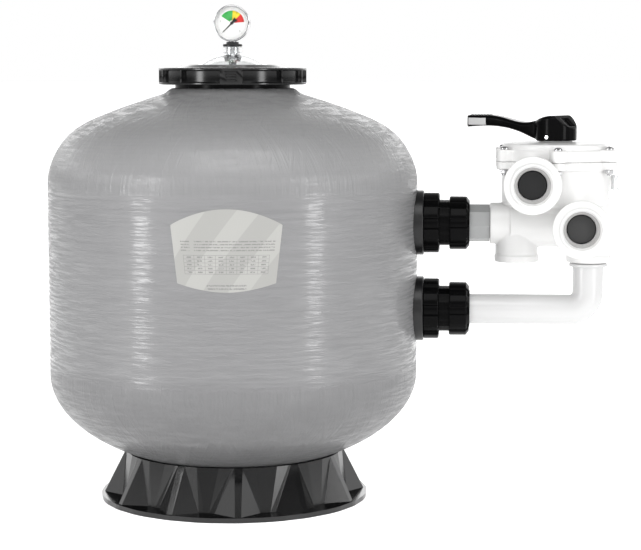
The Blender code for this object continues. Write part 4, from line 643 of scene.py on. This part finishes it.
# Lock ring
top, low = 0.71211, 0.68511
ring_profile = [
    (0.0705, top + 0.0028, 0.0015), (0.081, top + 0.0054, 0.004), (0.0945, top + 0.0004, 0.002),
    (0.1215, top, 0.0016), (0.1215, top - 0.0035, 0.0008), (0.1150, top - 0.0045, 0.001),
    (0.1150, low + 0.0045, 0.001), (0.1215, low + 0.0035, 0.0008), (0.1215, low, 0.0012),
    (0.1086, low, 0.0006), (0.1086, 0.7094), (0.0705, 0.7094, 0.0008),
]
ring_turn = tank_axis @ Matrix.Rotation(radians(-84.15), 4, "Z")
adds = []
middle = top - 0.0135
web_height = 0.0236
for side in (0, pi):
    for degrees in (42, 69.5, 90, -42, -69.5):
        adds.append(brick((0.0082, 0.003, web_height), turned_to(0.1172, side + radians(degrees), middle)))
    adds.append(brick((0.0104, 0.036, web_height), turned_to(0.1168, side, middle)))
    for row in range(4):
        row_z = middle + (1.5 - row) * 0.0043
        adds.append(brick((0.004, 0.014, 0.0024), turned_to(0.1212, side, row_z)))
ring = shaped("lock_ring_black", lathe(ring_profile, 144), adds, bevel=0.0005)
ring.data.transform(ring_turn)
dress(ring, ring_black, "lock_ring", ["lock_ring"])

# Gauge
gauge_at = Matrix.Translation((tank_x, 0, 0.78511)) @ to_front
case_profile = [
    (0, -0.0098), (0.0255, -0.0098), (0.0255, 0.0073), (0.0281, 0.0073), (0.0281, 0.013), (0.0266, 0.0132),
    (0.0268, 0.0139, 0.0004), (0.0292, 0.0139, 0.0012), (0.0299, 0.0118, 0.001), (0.0299, 0.0085, 0.0008),
    (0.0288, 0.0078, 0.0008), (0.0288, -0.0118, 0.003), (0, -0.0118),
]
piece("gauge_case_steel", lathe(case_profile, 96, False), bezel_steel, "lid", "gauge_case", at=gauge_at)
repaint("gauge_dial", dial_white)
repaint("bourdon_tube", copper)
face_z = 0.00845


def fan(inner_r, outer_r, a0, a1, z, steps=24):
    """A flat piece of a ring; angles run clockwise from the top, in degrees."""
    outline = [on_circle(outer_r, radians(90 - a0 - (a1 - a0) * s / steps)) for s in range(steps + 1)]
    outline += [on_circle(inner_r, radians(90 - a1 + (a1 - a0) * s / steps)) for s in range(steps + 1)]
    return slab([(p.x, p.y) for p in outline], z, z + 0.00008)


for name, material, a0, a1 in (("green", green, -57, 5), ("yellow", yellow, 5, 45), ("red", red, 45, 85)):
    piece("dial_" + name, fan(0.0045, 0.0205, a0, a1, face_z), material, "lid", at=gauge_at, sharp=0)
ticks = []
for step in range(41):
    angle = -135 + 270 * step / 40
    length = 0.0026 if step % 10 == 0 else (0.002 if step % 5 == 0 else 0.0012)
    width = 0.00028 if step % 10 == 0 else 0.00016
    place = on_circle(0.0243 - length / 2, radians(90 - angle), face_z + 0.0001)
    along_tick = Matrix.Rotation(radians(90 - angle), 4, "Z")
    ticks.append(brick((length, width, 0.00006), Matrix.Translation(place) @ along_tick))
piece("dial_ticks", merged(ticks), ink, "lid", at=gauge_at, sharp=0)
numbers = []
for count, angle in enumerate(range(-135, 136, 54)):
    text = bpy.data.curves.new("number", "FONT")
    text.body = str(count)
    text.size = 0.0042
    text.align_x = "CENTER"
    text.align_y = "CENTER"
    holder = bpy.data.objects.new("number", text)
    bpy.context.scene.collection.objects.link(holder)
    bpy.context.view_layer.update()
    mesh = bpy.data.meshes.new_from_object(holder.evaluated_get(bpy.context.evaluated_depsgraph_get()))
    bpy.data.objects.remove(holder, do_unlink=True)
    shape = bmesh.new()
    shape.from_mesh(mesh)
    numbers.append(
        moved(shape, Matrix.Translation(on_circle(0.0187, radians(90 - angle), face_z + 0.0002)))
    )
piece("dial_numbers", merged(numbers), ink, "lid", at=gauge_at, sharp=0)
pointer_at = gauge_at @ Matrix.Rotation(radians(-225), 4, "Z")
needle = [
    (-0.0005, 0.021), (0.0005, 0.021), (0.0012, 0.0), (0.0036, -0.0095), (-0.0036, -0.0095), (-0.0012, 0.0),
]
pointer = shaped(
    "pointer_black", slab(needle, 0.0089, 0.0096),
    [drum(0.0026, 0.0087, 0.0101, 32), drum(0.0011, 0.0036, 0.0092, 16)],
)
pointer.data.transform(pointer_at)
dress(pointer, ink, "gauge_needle", ["gauge_pointer"])
piece(
    "gauge_window", lathe([(0, 0.0127), (0.0277, 0.0127), (0.0277, 0.0113), (0, 0.0113)], 64, False), glass,
    "lid", "gauge_lens", at=gauge_at,
)
adapter = [
    (0.0069, 0.7548), (0.010, 0.7548, 0.0006), (0.0104, 0.7513, 0.0006), (0.0158, 0.7511, 0.0012),
    (0.016, 0.7472, 0.001), (0.0069, 0.7469),
]
piece("gauge_adapter_black", lathe(adapter, 64), black_matt, "lid", "gauge_adapter", at=tank_axis)
stem = [(0, 0.761), (0.0066, 0.761), (0.0066, 0.7463), (0.0106, 0.7463, 0.0008), (0.0106, 0.7338, 0.0008)]
turns = 11
for step in range(turns):
    z = 0.7335 - 0.0165 * step / turns
    stem += [(0.0059, z), (0.0066, z - 0.00075)]
stem += [(0.0057, 0.7169), (0, 0.7169)]
piece("stem_metal", lathe(stem, 48, False), steel, "lid", "gauge_stem", at=tank_axis)


# Side fittings


def lobed(outer, root, count, width, phase):
    """Radius of a lobed nut at an angle, easing between lobes and roots."""

    def radius_at(angle, radius):
        if radius < root - 0.004:
            return radius
        share = ((angle - phase) / (2 * pi / count) + 0.5) % 1 - 0.5
        distance = abs(share) * 2 * pi / count
        ease = min(max((distance - width / 2) / radians(3.2) + 0.5, 0), 1)
        ease = ease * ease * (3 - 2 * ease)
        return radius - (outer - root) * ease

    return radius_at


def thread(radius, low, high, pitch, depth):
    """A ridged outside between two places, running down."""
    count = int((high - low) / pitch)
    points = []
    for step in range(count):
        z = high - pitch * step
        root = radius - depth
        for across, share in ((root, 0.08), (radius, 0.35), (radius, 0.6), (root, 0.88)):
            points.append((across, z - share * pitch))
    return points


tank_solid = lathe([(0, 0.7), (tank_r + 0.0003, 0.7), (tank_r + 0.0003, 0.1), (0, 0.1)], 160, False)
tank_mesh = bpy.data.meshes.new("skin")
tank_solid.to_mesh(tank_mesh)
tank_solid.free()
for prefix, z in (("upper", upper_z), ("lower", lower_z)):
    at = Matrix.Translation((tank_x, 0, z)) @ along_x
    skin = bmesh.new()
    skin.from_mesh(tank_mesh)
    moved(skin, Matrix.Translation((0, 0, -0.4)))
    spacer_profile = [(fitting_r, 0.316), (0.053, 0.316, 0.002), (0.053, 0.285), (fitting_r, 0.285)]
    spacer_bar = moved(lathe(spacer_profile), along_x)
    spacer = shaped(prefix + "_spacer_black", spacer_bar, cuts=[skin])
    spacer.data.transform(Matrix.Translation((tank_x, 0, z)))
    dress(spacer, black_matt, "filter", [prefix + "_spacer"])
    front = 0.3783
    tube = [(0.0213, front), (0.0376, front, 0.0006)]
    tube += thread(0.0376, 0.3165, front - 0.0005, 0.0023, 0.0013)
    tube += [(0.0376, 0.3160), (0.0376, 0.2815), (0.0208, 0.2815)]
    piece(prefix + "_tube", lathe(tube, 96), black, "filter", at=at)
    nut = [
        (0.0388, 0.3418), (0.0455, 0.3418, 0.001), (0.0498, 0.3408, 0.0035), (0.0500, 0.3165, 0.0012),
        (0.0388, 0.3163),
    ]
    piece(
        prefix + "_nut_black",
        lathe(nut, 288, radius_at=lobed(0.05, 0.0448, 8, radians(24), radians(20))),
        black, "filter", prefix + "_bulkhead_nut", at=at,
    )
    bore = 0.0321 if prefix == "upper" else 0.0317
    union = [
        (bore, 0.3909, 0.0006), (0.0372, 0.3909, 0.0012), (0.0438, 0.3858, 0.0016), (0.0440, 0.3605, 0.001),
        (0.0432, 0.3581, 0.001), (0.0388, 0.3579), (0.0388, 0.3843), (bore, 0.3843),
    ]
    piece(
        prefix + "_union_black",
        lathe(union, 288, radius_at=lobed(0.044, 0.0415, 8, radians(27), radians(20))),
        black, prefix + "_union_nut", prefix + "_union_nut", at=at,
    )
    repaint(prefix + "_gasket", rubber)
    repaint(prefix + "_union_seal", rubber)
repaint("upper_bulkhead_tube", black)
repaint("lower_bulkhead_tube", black)
repaint("lower_union_tail", black)
repaint("union_adapter", grey, 0.0012)

# White pipe
riser_x = 0.585
corner = (riser_x + tank_x, lower_z)
start_x = 0.381 + tank_x
bend = 0.029
route = [(start_x, 0, lower_z), (corner[0] - bend, 0, lower_z)]
for step in range(1, 17):
    angle = pi / 2 * step / 16
    route.append((corner[0] - bend + bend * sin(angle), 0, lower_z + bend - bend * cos(angle)))
route.append((corner[0], 0, 0.4135))
ring_at = Matrix.Translation((corner[0], 0, 0))
pipe_ring = moved(
    lathe([(0, 0.394), (0.0305, 0.394, 0.0012), (0.0312, 0.3891, 0.0012), (0, 0.3891)], 64, False), ring_at,
)
pipe = shaped("pipe_white", swept(route, 0.0248, 64), [pipe_ring])
dress(pipe, pipe_white, "filter", ["lower_pipe"])

# Valve body
wall_low = 0.489
upper_port_x, upper_port_z = 0.490, 0.527
lower_port_x, manifold_z = 0.568, 0.4575
down_x = 0.468
plug_z = 0.5265
bolt_circle = 0.097
bolt_angles = [-pi / 2 + pi / 3 * index for index in range(6)]
lug_reach = 0.0128


def front_port(x, z, depth):
    outside = [
        (0, 0.1238), (0.0345, 0.1238, 0.002), (0.0362, 0.1198, 0.001), (0.0465, 0.1168, 0.0035),
        (0.0462, 0.1125, 0.002), (0.0362, 0.1105, 0.004), (0.0348, depth), (0, depth),
    ]
    return moved(lathe(outside, 72, False), Matrix.Translation((x + tank_x, 0, z)) @ to_front)


def front_bore(x, z, depth):
    inside = [
        (0, 0.13), (0.0318, 0.13), (0.0315, 0.1205, 0.001), (0.0288, 0.1190, 0.001),
        (0.0282, 0.1045, 0.001), (0.0236, 0.1035, 0.001), (0.0232, depth), (0, depth),
    ]
    return moved(lathe(inside, 72, False), Matrix.Translation((x + tank_x, 0, z)) @ to_front)


def lug_star(low, high):
    loop = []
    root = 0.085
    spread = asin(0.013 / root)
    for angle in bolt_angles:
        centre = on_circle(bolt_circle, angle)
        loop.append(on_circle(root, angle - spread))
        loop += [centre + on_circle(lug_reach, angle - pi / 2 + pi * step / 16) for step in range(17)]
        for step in range(5):
            loop.append(on_circle(root, angle + spread + (pi / 3 - 2 * spread) * step / 5))
    return moved(slab([(p.x, p.y) for p in loop], low, high), valve_axis)


def stub(radius, x, low, high, lip):
    corners = [
        (0, high), (radius, high), (radius, low + 0.012, 0.001), (radius + lip, low + 0.0105, 0.001),
        (radius + lip, low, 0.0015), (0, low),
    ]
    return moved(lathe(corners, 72, False), Matrix.Translation((x + tank_x, 0, 0)))


def bar(radius, x0, x1, z):
    return moved(drum(radius, x0, x1, 72), Matrix.Translation((tank_x, 0, z)) @ along_x)


body_profile = [
    (0, 0.5618), (0.0898, 0.5618), (0.0898, 0.5495), (0.087, 0.5480), (0.087, wall_low, 0.009),
    (0, wall_low),
]
body_base = moved(lathe(body_profile, 96, False), valve_axis)
plug_boss = lathe([(0, 0.0908), (0.013, 0.0908, 0.002), (0.0138, 0.078), (0, 0.078)], 48, False)
plug_at = Matrix.Translation((valve_x, 0, plug_z))
body_adds = [
    lug_star(0.5497, 0.5616),
    brick((0.115, 0.064, 0.034), Matrix.Translation((valve_x, 0, 0.4735))),
    bar(0.0372, 0.457, riser_x, manifold_z),
    bar(0.034, 0.4242, 0.467, upper_z),
    stub(0.0345, riser_x, 0.3962, 0.50, 0.0015),
    stub(0.0345, down_x, 0.3962, manifold_z, 0.0015),
    moved(plug_boss, plug_at @ along_x),
    front_port(upper_port_x, upper_port_z, 0.06),
    front_port(lower_port_x, manifold_z, 0.004),
]
body_cuts = [
    moved(drum(0.078, 0.4972, 0.60, 96), valve_axis),
    front_bore(upper_port_x, upper_port_z, 0.055),
    front_bore(lower_port_x, manifold_z, 0.012),
    moved(drum(0.0185, 0.392, 0.44, 48), Matrix.Translation((0.583 + tank_x, 0, 0.035))),
    moved(drum(0.0225, 0.39, 0.428, 48), Matrix.Translation((down_x + tank_x, 0, 0))),
    bar(0.0255, 0.41, 0.446, upper_z),
    moved(drum(0.0255, 0.38, 0.4155, 48), Matrix.Translation((riser_x + tank_x, 0, 0))),
    moved(drum(0.0082, 0.0, 0.13, 32), plug_at @ along_x),
]
body = shaped("valve_body_white", body_base, body_adds, body_cuts, voxel=0.0012, rounds=2, share=0.42)
dress(body, white, "filter", ["valve_body"], 0)

# Threads in the sockets of the front ports, painted grey as shade, and dark liners in the bores behind
# them, painted shade for their unlit depth
ports = (
    ("upper", upper_port_x, upper_port_z, 0.0715, black_matt),
    ("lower", lower_port_x, manifold_z, 0.0445, painted_shade_dark),
)
socket_low, socket_high, socket_r = 0.1045, 0.119, 0.0286
throat_r, throat_inner_r, throat_wall = 0.0228, 0.0222, 0.001
for name, x, z, depth, tone in ports:
    at = Matrix.Translation((x + tank_x, 0, z)) @ to_front
    ridges = [(socket_r, socket_low)]
    for step in range(8):
        y = socket_low + 0.0018 * step
        crest = 0.0238 + 0.00045 * step
        ridges += [(crest, y), (crest + 0.0011, y + 0.0009)]
    ridges.append((socket_r, socket_high))
    # painted shade: the threads are grey where the white sockets lie in shade
    piece(name + "_port_thread", lathe(ridges, 72), painted_shade_grey, "filter", at=at)
    # painted shade: a dark liner in each bore stands for its unlit depth, black in the upper port and near
    # black in the lower
    throat = [
        (throat_r, 0.1025), (throat_inner_r, 0.1025), (throat_inner_r, depth + throat_wall),
        (0, depth + throat_wall), (0, depth), (throat_r, depth),
    ]
    piece(name + "_port_shade_liner", lathe(throat, 48, False), tone, "filter", at=at)

# Valve cover
cover_profile = [
    (0.0086, 0.592), (0.030, 0.592), (0.0865, 0.5905, 0.011), (0.0868, 0.581, 0.002),
    (0.0898, 0.5795, 0.002), (0.0898, 0.5621), (0.078, 0.5621), (0.078, 0.5835), (0.015, 0.5835),
    (0.015, 0.5606), (0.0086, 0.5606),
]
cover_base = moved(lathe(cover_profile, 96), valve_axis)
inner_drum = moved(drum(0.0779, 0.55, 0.59, 96), valve_axis)
lug_shape = taken(shaped("lugs", lug_star(0.5621, 0.5815), cuts=[inner_drum]))
cover_cuts = []
for angle in bolt_angles:
    bolt_at = valve_axis @ Matrix.Translation(on_circle(bolt_circle, angle))
    cover_cuts.append(moved(drum(0.0044, 0.55, 0.59, 24), bolt_at))
cover = shaped("valve_cover_white", cover_base, [lug_shape], cover_cuts, voxel=0.0012, rounds=2)
dress(cover, white, "filter", ["valve_cover"], 0)

# Screws with cross recesses, and their nuts
screw_profile = [
    (0, 0.5866), (0.003, 0.5864), (0.0058, 0.5852), (0.0070, 0.5838), (0.0071, 0.5822), (0.004, 0.5822),
]
screw_profile += thread(0.004, 0.5402, 0.549, 0.0008, 0.0004) + [(0, 0.5400)]
nut_profile = [
    (0, 0.5492), (0.0066, 0.5492), (0.0075, 0.5486), (0.0075, 0.5434), (0.0066, 0.5428), (0, 0.5428),
]
recess_at = Matrix.Translation((0, 0, 0.5866))
for number, angle in enumerate(bolt_angles, 1):
    recesses = [brick(size, recess_at) for size in ((0.0012, 0.006, 0.003), (0.006, 0.0012, 0.003))]
    hexagon = moved(lathe(nut_profile, 6, False), Matrix.Rotation(pi / 6, 4, "Z"))
    bolt = shaped("cover_bolt_steel_%d" % number, lathe(screw_profile, 40, False), [hexagon], recesses)
    bolt.data.transform(valve_axis @ Matrix.Translation(on_circle(bolt_circle, angle)))
    dress(bolt, steel, "filter", ["cover_bolt_%d" % number])

# Handle: a lofted lever with a hub, cut and remeshed like a moulding
pin_z = 0.6006
hub_r, lever_end, lever_low = 0.0338, 0.1648, -0.0059
hub_end, tip_r = 0.0287, 0.0133


def eased(x, stops):
    if x <= stops[0][0]:
        return stops[0][1]
    for (x0, v0), (x1, v1) in zip(stops, stops[1:]):
        if x <= x1:
            share = (x - x0) / (x1 - x0)
            return v0 + (v1 - v0) * share * share * (3 - 2 * share)
    return stops[-1][1]


def smooth(x, stops):
    """A value on a smooth run through (place, value) stops, level before the first run."""
    for index in range(len(stops) - 1):
        x0, v0 = stops[index]
        x1, v1 = stops[index + 1]
        if x <= x1 or index == len(stops) - 2:
            before = stops[max(index - 1, 0)]
            after = stops[min(index + 2, len(stops) - 1)]
            share = min(max((x - x0) / (x1 - x0), 0), 1)
            m0 = (v1 - before[1]) / (x1 - before[0]) * (x1 - x0)
            m1 = (after[1] - v0) / (after[0] - x0) * (x1 - x0)
            a, b = 2 * share**3 - 3 * share**2 + 1, share**3 - 2 * share**2 + share
            return a * v0 + b * m0 + (1 - a) * v1 + (share**3 - share**2) * m1
    return stops[-1][1]


def lever_top(x):
    stops = [
        (-hub_r, lever_low + 0.0375), (-0.007, lever_low + 0.0408), (0.052, lever_low + 0.0288),
        (0.118, lever_low + 0.0395), (lever_end, lever_low + 0.039),
    ]
    return eased(x, stops)


def lever_under(x):
    stops = [
        (0.0, 0.0), (0.024, 0.0), (0.062, 0.0133), (0.085, 0.0188), (0.115, 0.0218), (0.143, 0.0212),
        (lever_end, 0.0192),
    ]
    return lever_low + smooth(x, stops)


def lever_section(x):
    top, under = lever_top(x), lever_under(x)
    half = eased(x, [(hub_end, 0.018), (0.099, tip_r)])
    if x < hub_end:
        half = max(half if x > 0 else 0, sqrt(max(hub_r**2 - x * x, 0.000009)))
    left = lever_end - x
    if left < tip_r:
        half = min(half, sqrt(max(tip_r**2 - (tip_r - left) ** 2, 0.000009)))
    rounding = min(0.0065, 0.45 * half, 0.35 * (top - under))
    flat = min(0.002, 0.3 * half) if x < 0.024 else rounding
    ring = [(half, top, rounding), (-half, top, rounding), (-half, under, flat), (half, under, flat)]
    return [(x, p.x, p.y) for p in filleted(ring, True, 5)]


hub_places = [-0.0337 + 0.0684 * (step / 24) for step in range(25)]
arm_places = [0.036 + 0.1152 * step / 30 for step in range(31)]
tip_places = [0.1515 + 0.0132 * sin(pi / 2 * step / 6) for step in range(1, 7)]
lever = rings_mesh([lever_section(x) for x in hub_places + arm_places + tip_places], False)
slope = atan2(0.022, 0.0238)
tilt = Matrix.Rotation(-slope, 4, "Y")
facet_half = 0.034
facet_at = Matrix.Translation((-0.010 - sin(slope) * facet_half, 0, 0.0351 + cos(slope) * facet_half))
facet = brick((0.13, 0.13, 2 * facet_half), facet_at @ tilt)
window = brick((0.019, 0.024, 0.008), Matrix.Translation((-0.022, 0, 0.0241)) @ tilt)
slot_cut = brick((0.026, 0.0176, 0.040), Matrix.Translation((0, 0, 0.0010)))
pin_cut = moved(drum(0.0034, -0.08, 0.08, 32), to_front)
lever_obj = shaped("handle_black", lever, cuts=[facet, window, slot_cut, pin_cut], voxel=0.0009, rounds=3)
lever_at = Matrix.Translation((valve_x, 0, pin_z)) @ Matrix.Rotation(lever_angle, 4, "Z")
lever_obj.data.transform(lever_at)
dress(lever_obj, black, "handle", ["handle"], 0)
bumps = []
bump_profile = [(0, 0.0022), (0.0012, 0.0014), (0.0016, 0), (0, -0.001)]
widened = Matrix.Diagonal((1, 6, 1, 1))
for step in range(7):
    x = 0.122 + 0.0058 * step
    bump_at = Matrix.Translation((x, 0, lever_top(x) - 0.0006))
    bumps.append(moved(lathe(bump_profile, 16, False), bump_at @ widened))
piece("handle_grip", merged(bumps), black, "handle", at=lever_at)
tip_plate = brick((0.033, 0.0012, 0.0115), Matrix.Translation((0.1405, 0.0131, 0.0233)))
piece("handle_plate", tip_plate, plate_grey, "handle", at=lever_at)
repaint("handle_pin", steel, 0.0005)

# Plug with a wing
wing_outline = [
    (0.094, -0.006), (0.0985, -0.006, 0.002), (0.1015, -0.0143, 0.004), (0.1093, -0.0143, 0.004),
    (0.1093, 0.0143, 0.004), (0.1015, 0.0143, 0.004), (0.0985, 0.006, 0.002), (0.094, 0.006),
]
wing_plate = slab([(p.x, p.y) for p in filleted(wing_outline, True)], -0.0015, 0.0015)
wing_shape = moved(taken(shaped("wing_tool", wing_plate, bevel=0.0006)), to_front)
plug_profile = [(0, 0.0970), (0.0128, 0.0968, 0.001), (0.013, 0.0932, 0.001), (0.0074, 0.0930)]
plug_profile += thread(0.0074, 0.0792, 0.092, 0.0015, 0.0006) + [(0, 0.079)]
plug = moved(lathe(plug_profile, 48, False), along_x)
plug_obj = shaped("wing_plug_milky", plug, [wing_shape])
plug_obj.data.transform(plug_at)
dress(plug_obj, milky, "wing_plug", ["wing_plug"])

# Hidden and plain pieces keep their solids
for name in ("lid_seal", "cover_seal", "rotor_gasket"):
    repaint(name, rubber)
repaint("plug_seal", milky)
repaint("rotor", black_matt)

# The spring's upper end stays under the cover while the stem rises, so the real spring shortens; here it
# only gets a copy of its mesh, which keeps its shape
spring = bpy.data.objects.new("rotor_spring_steel", nodes["rotor_spring"].data.copy())
bpy.context.scene.collection.objects.link(spring)
dress(spring, steel, "selector", ["rotor_spring"])
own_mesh(spring)

repaint("slip_washer", pipe_white, 0.0004)
for name in ["diffuser", "lateral_hub"] + ["lateral_%d" % i for i in range(1, 9)]:
    repaint(name, black_matt)
for name in ("inlet_pipe", "outlet_pipe"):
    repaint(name, pipe_white)

# Studio
floor_half = 90
floor_corners = [(x * floor_half, y * floor_half, 0) for x, y in ((-1, -1), (1, -1), (1, 1), (-1, 1))]
floor_mesh = bpy.data.meshes.new("floor")
floor_mesh.from_pydata(floor_corners, [], [(0, 1, 2, 3)])
floor = bpy.data.objects.new("floor", floor_mesh)
bpy.context.scene.collection.objects.link(floor)
floor_material = new_material(
    "floor", (0.8, 0.8, 0.8), 0.6, Specular_IOR_Level=0.2, Emission_Color=(1, 1, 1, 1),
)
# The floor's glow is strongest in a wedge that opens away from the front, and fades to its sides
wedge_x, wedge_y, wedge_lean, wedge_spread = 0.232, 3.2, 0.079, 0.19
floor_tools = Nodes(floor_material)
floor_x, floor_y = floor_tools.place()[:2]
floor_away = floor_tools.math("MAXIMUM", floor_tools.plus(floor_y, wedge_y), 0.0)
floor_line = floor_tools.math("SUBTRACT", floor_x, wedge_x)
floor_line = floor_tools.math("MULTIPLY_ADD", floor_away, wedge_lean, floor_line)
floor_side = floor_tools.math(
    "MULTIPLY_ADD", floor_away, -wedge_spread, floor_tools.math("ABSOLUTE", floor_line),
)
floor_glow = floor_tools.ramp(floor_side, 0.5, 6.0, 0.85, 0.6)
floor_tools.link(floor_glow, floor_tools.shader.inputs["Emission Strength"])
floor.data.materials.append(floor_material)


def softbox(name, azimuth, distance, height, size, power, target_z=0.4):
    light = bpy.data.lights.new(name, "AREA")
    light.shape = "RECTANGLE"
    light.size, light.size_y = size
    light.energy = power
    lamp = bpy.data.objects.new(name, light)
    bpy.context.scene.collection.objects.link(lamp)
    lamp.location = Vector(
        (tank_x + distance * sin(radians(azimuth)), -distance * cos(radians(azimuth)), height)
    )
    aim = Vector((tank_x, 0, target_z)) - lamp.location
    lamp.rotation_euler = aim.to_track_quat("-Z", "Y").to_euler()
    return lamp


softbox("left_strip", -47, 2.6, 0.75, (0.46, 1.9), 26)
softbox("right_strip", 54.5, 2.6, 0.75, (0.42, 1.9), 20)
softbox("overhead", 10, 1.6, 2.4, (2.2, 1.4), 34)

world = bpy.data.worlds.new("studio")
world.use_nodes = True
sky = world.node_tree
sky_place = sky.nodes.new("ShaderNodeTexCoord")
sky_split = sky.nodes.new("ShaderNodeSeparateXYZ")
sky_fade = sky.nodes.new("ShaderNodeValToRGB")
for place, level in ((0.3, 0.3), (0.74, 0.32), (0.93, 1.0)):
    sky_fade.color_ramp.elements.new(place).color = (level, level, level, 1)
sky_fade.color_ramp.elements[0].color = (0.06, 0.06, 0.06, 1)
sky.links.new(sky_place.outputs["Generated"], sky_split.inputs[0])
sky.links.new(sky_split.outputs[1], sky_fade.inputs[0])
band_strength = 1.6
sky_band = sky.nodes.new("ShaderNodeValToRGB")
for place in (0.17, 0.34, 0.4):
    sky_band.color_ramp.elements.new(place)
for index, (place, level) in enumerate(((0.12, 0), (0.17, 1), (0.34, 1), (0.4, 0), (1, 0))):
    sky_band.color_ramp.elements[index].position = place
    sky_band.color_ramp.elements[index].color = (level, level, level, 1)
sky_sum = sky.nodes.new("ShaderNodeMath")
sky_sum.operation = "MULTIPLY_ADD"
sky_sum.inputs[1].default_value = band_strength
sky.links.new(sky_split.outputs[2], sky_band.inputs[0])
sky.links.new(sky_band.outputs[0], sky_sum.inputs[0])
sky.links.new(sky_fade.outputs[0], sky_sum.inputs[2])
sky.nodes["Background"].inputs[0].default_value = (1, 1, 1, 1)
sky.links.new(sky_sum.outputs[0], sky.nodes["Background"].inputs[1])
bpy.context.scene.world = world
bpy.context.scene.view_settings.view_transform = "Standard"
bpy.context.scene.view_settings.look = "None"

camera_data = bpy.data.cameras.new("camera")
camera_data.sensor_width = 36
camera_data.lens = 109.5
camera_data.clip_end = 100
camera = bpy.data.objects.new("camera", camera_data)
bpy.context.scene.collection.objects.link(camera)
camera.location = (tank_x + 0.399, -3.206, 0.712)
camera.rotation_euler = Euler((radians(90 - 6.06), 0, radians(4.53)))
bpy.context.scene.camera = camera
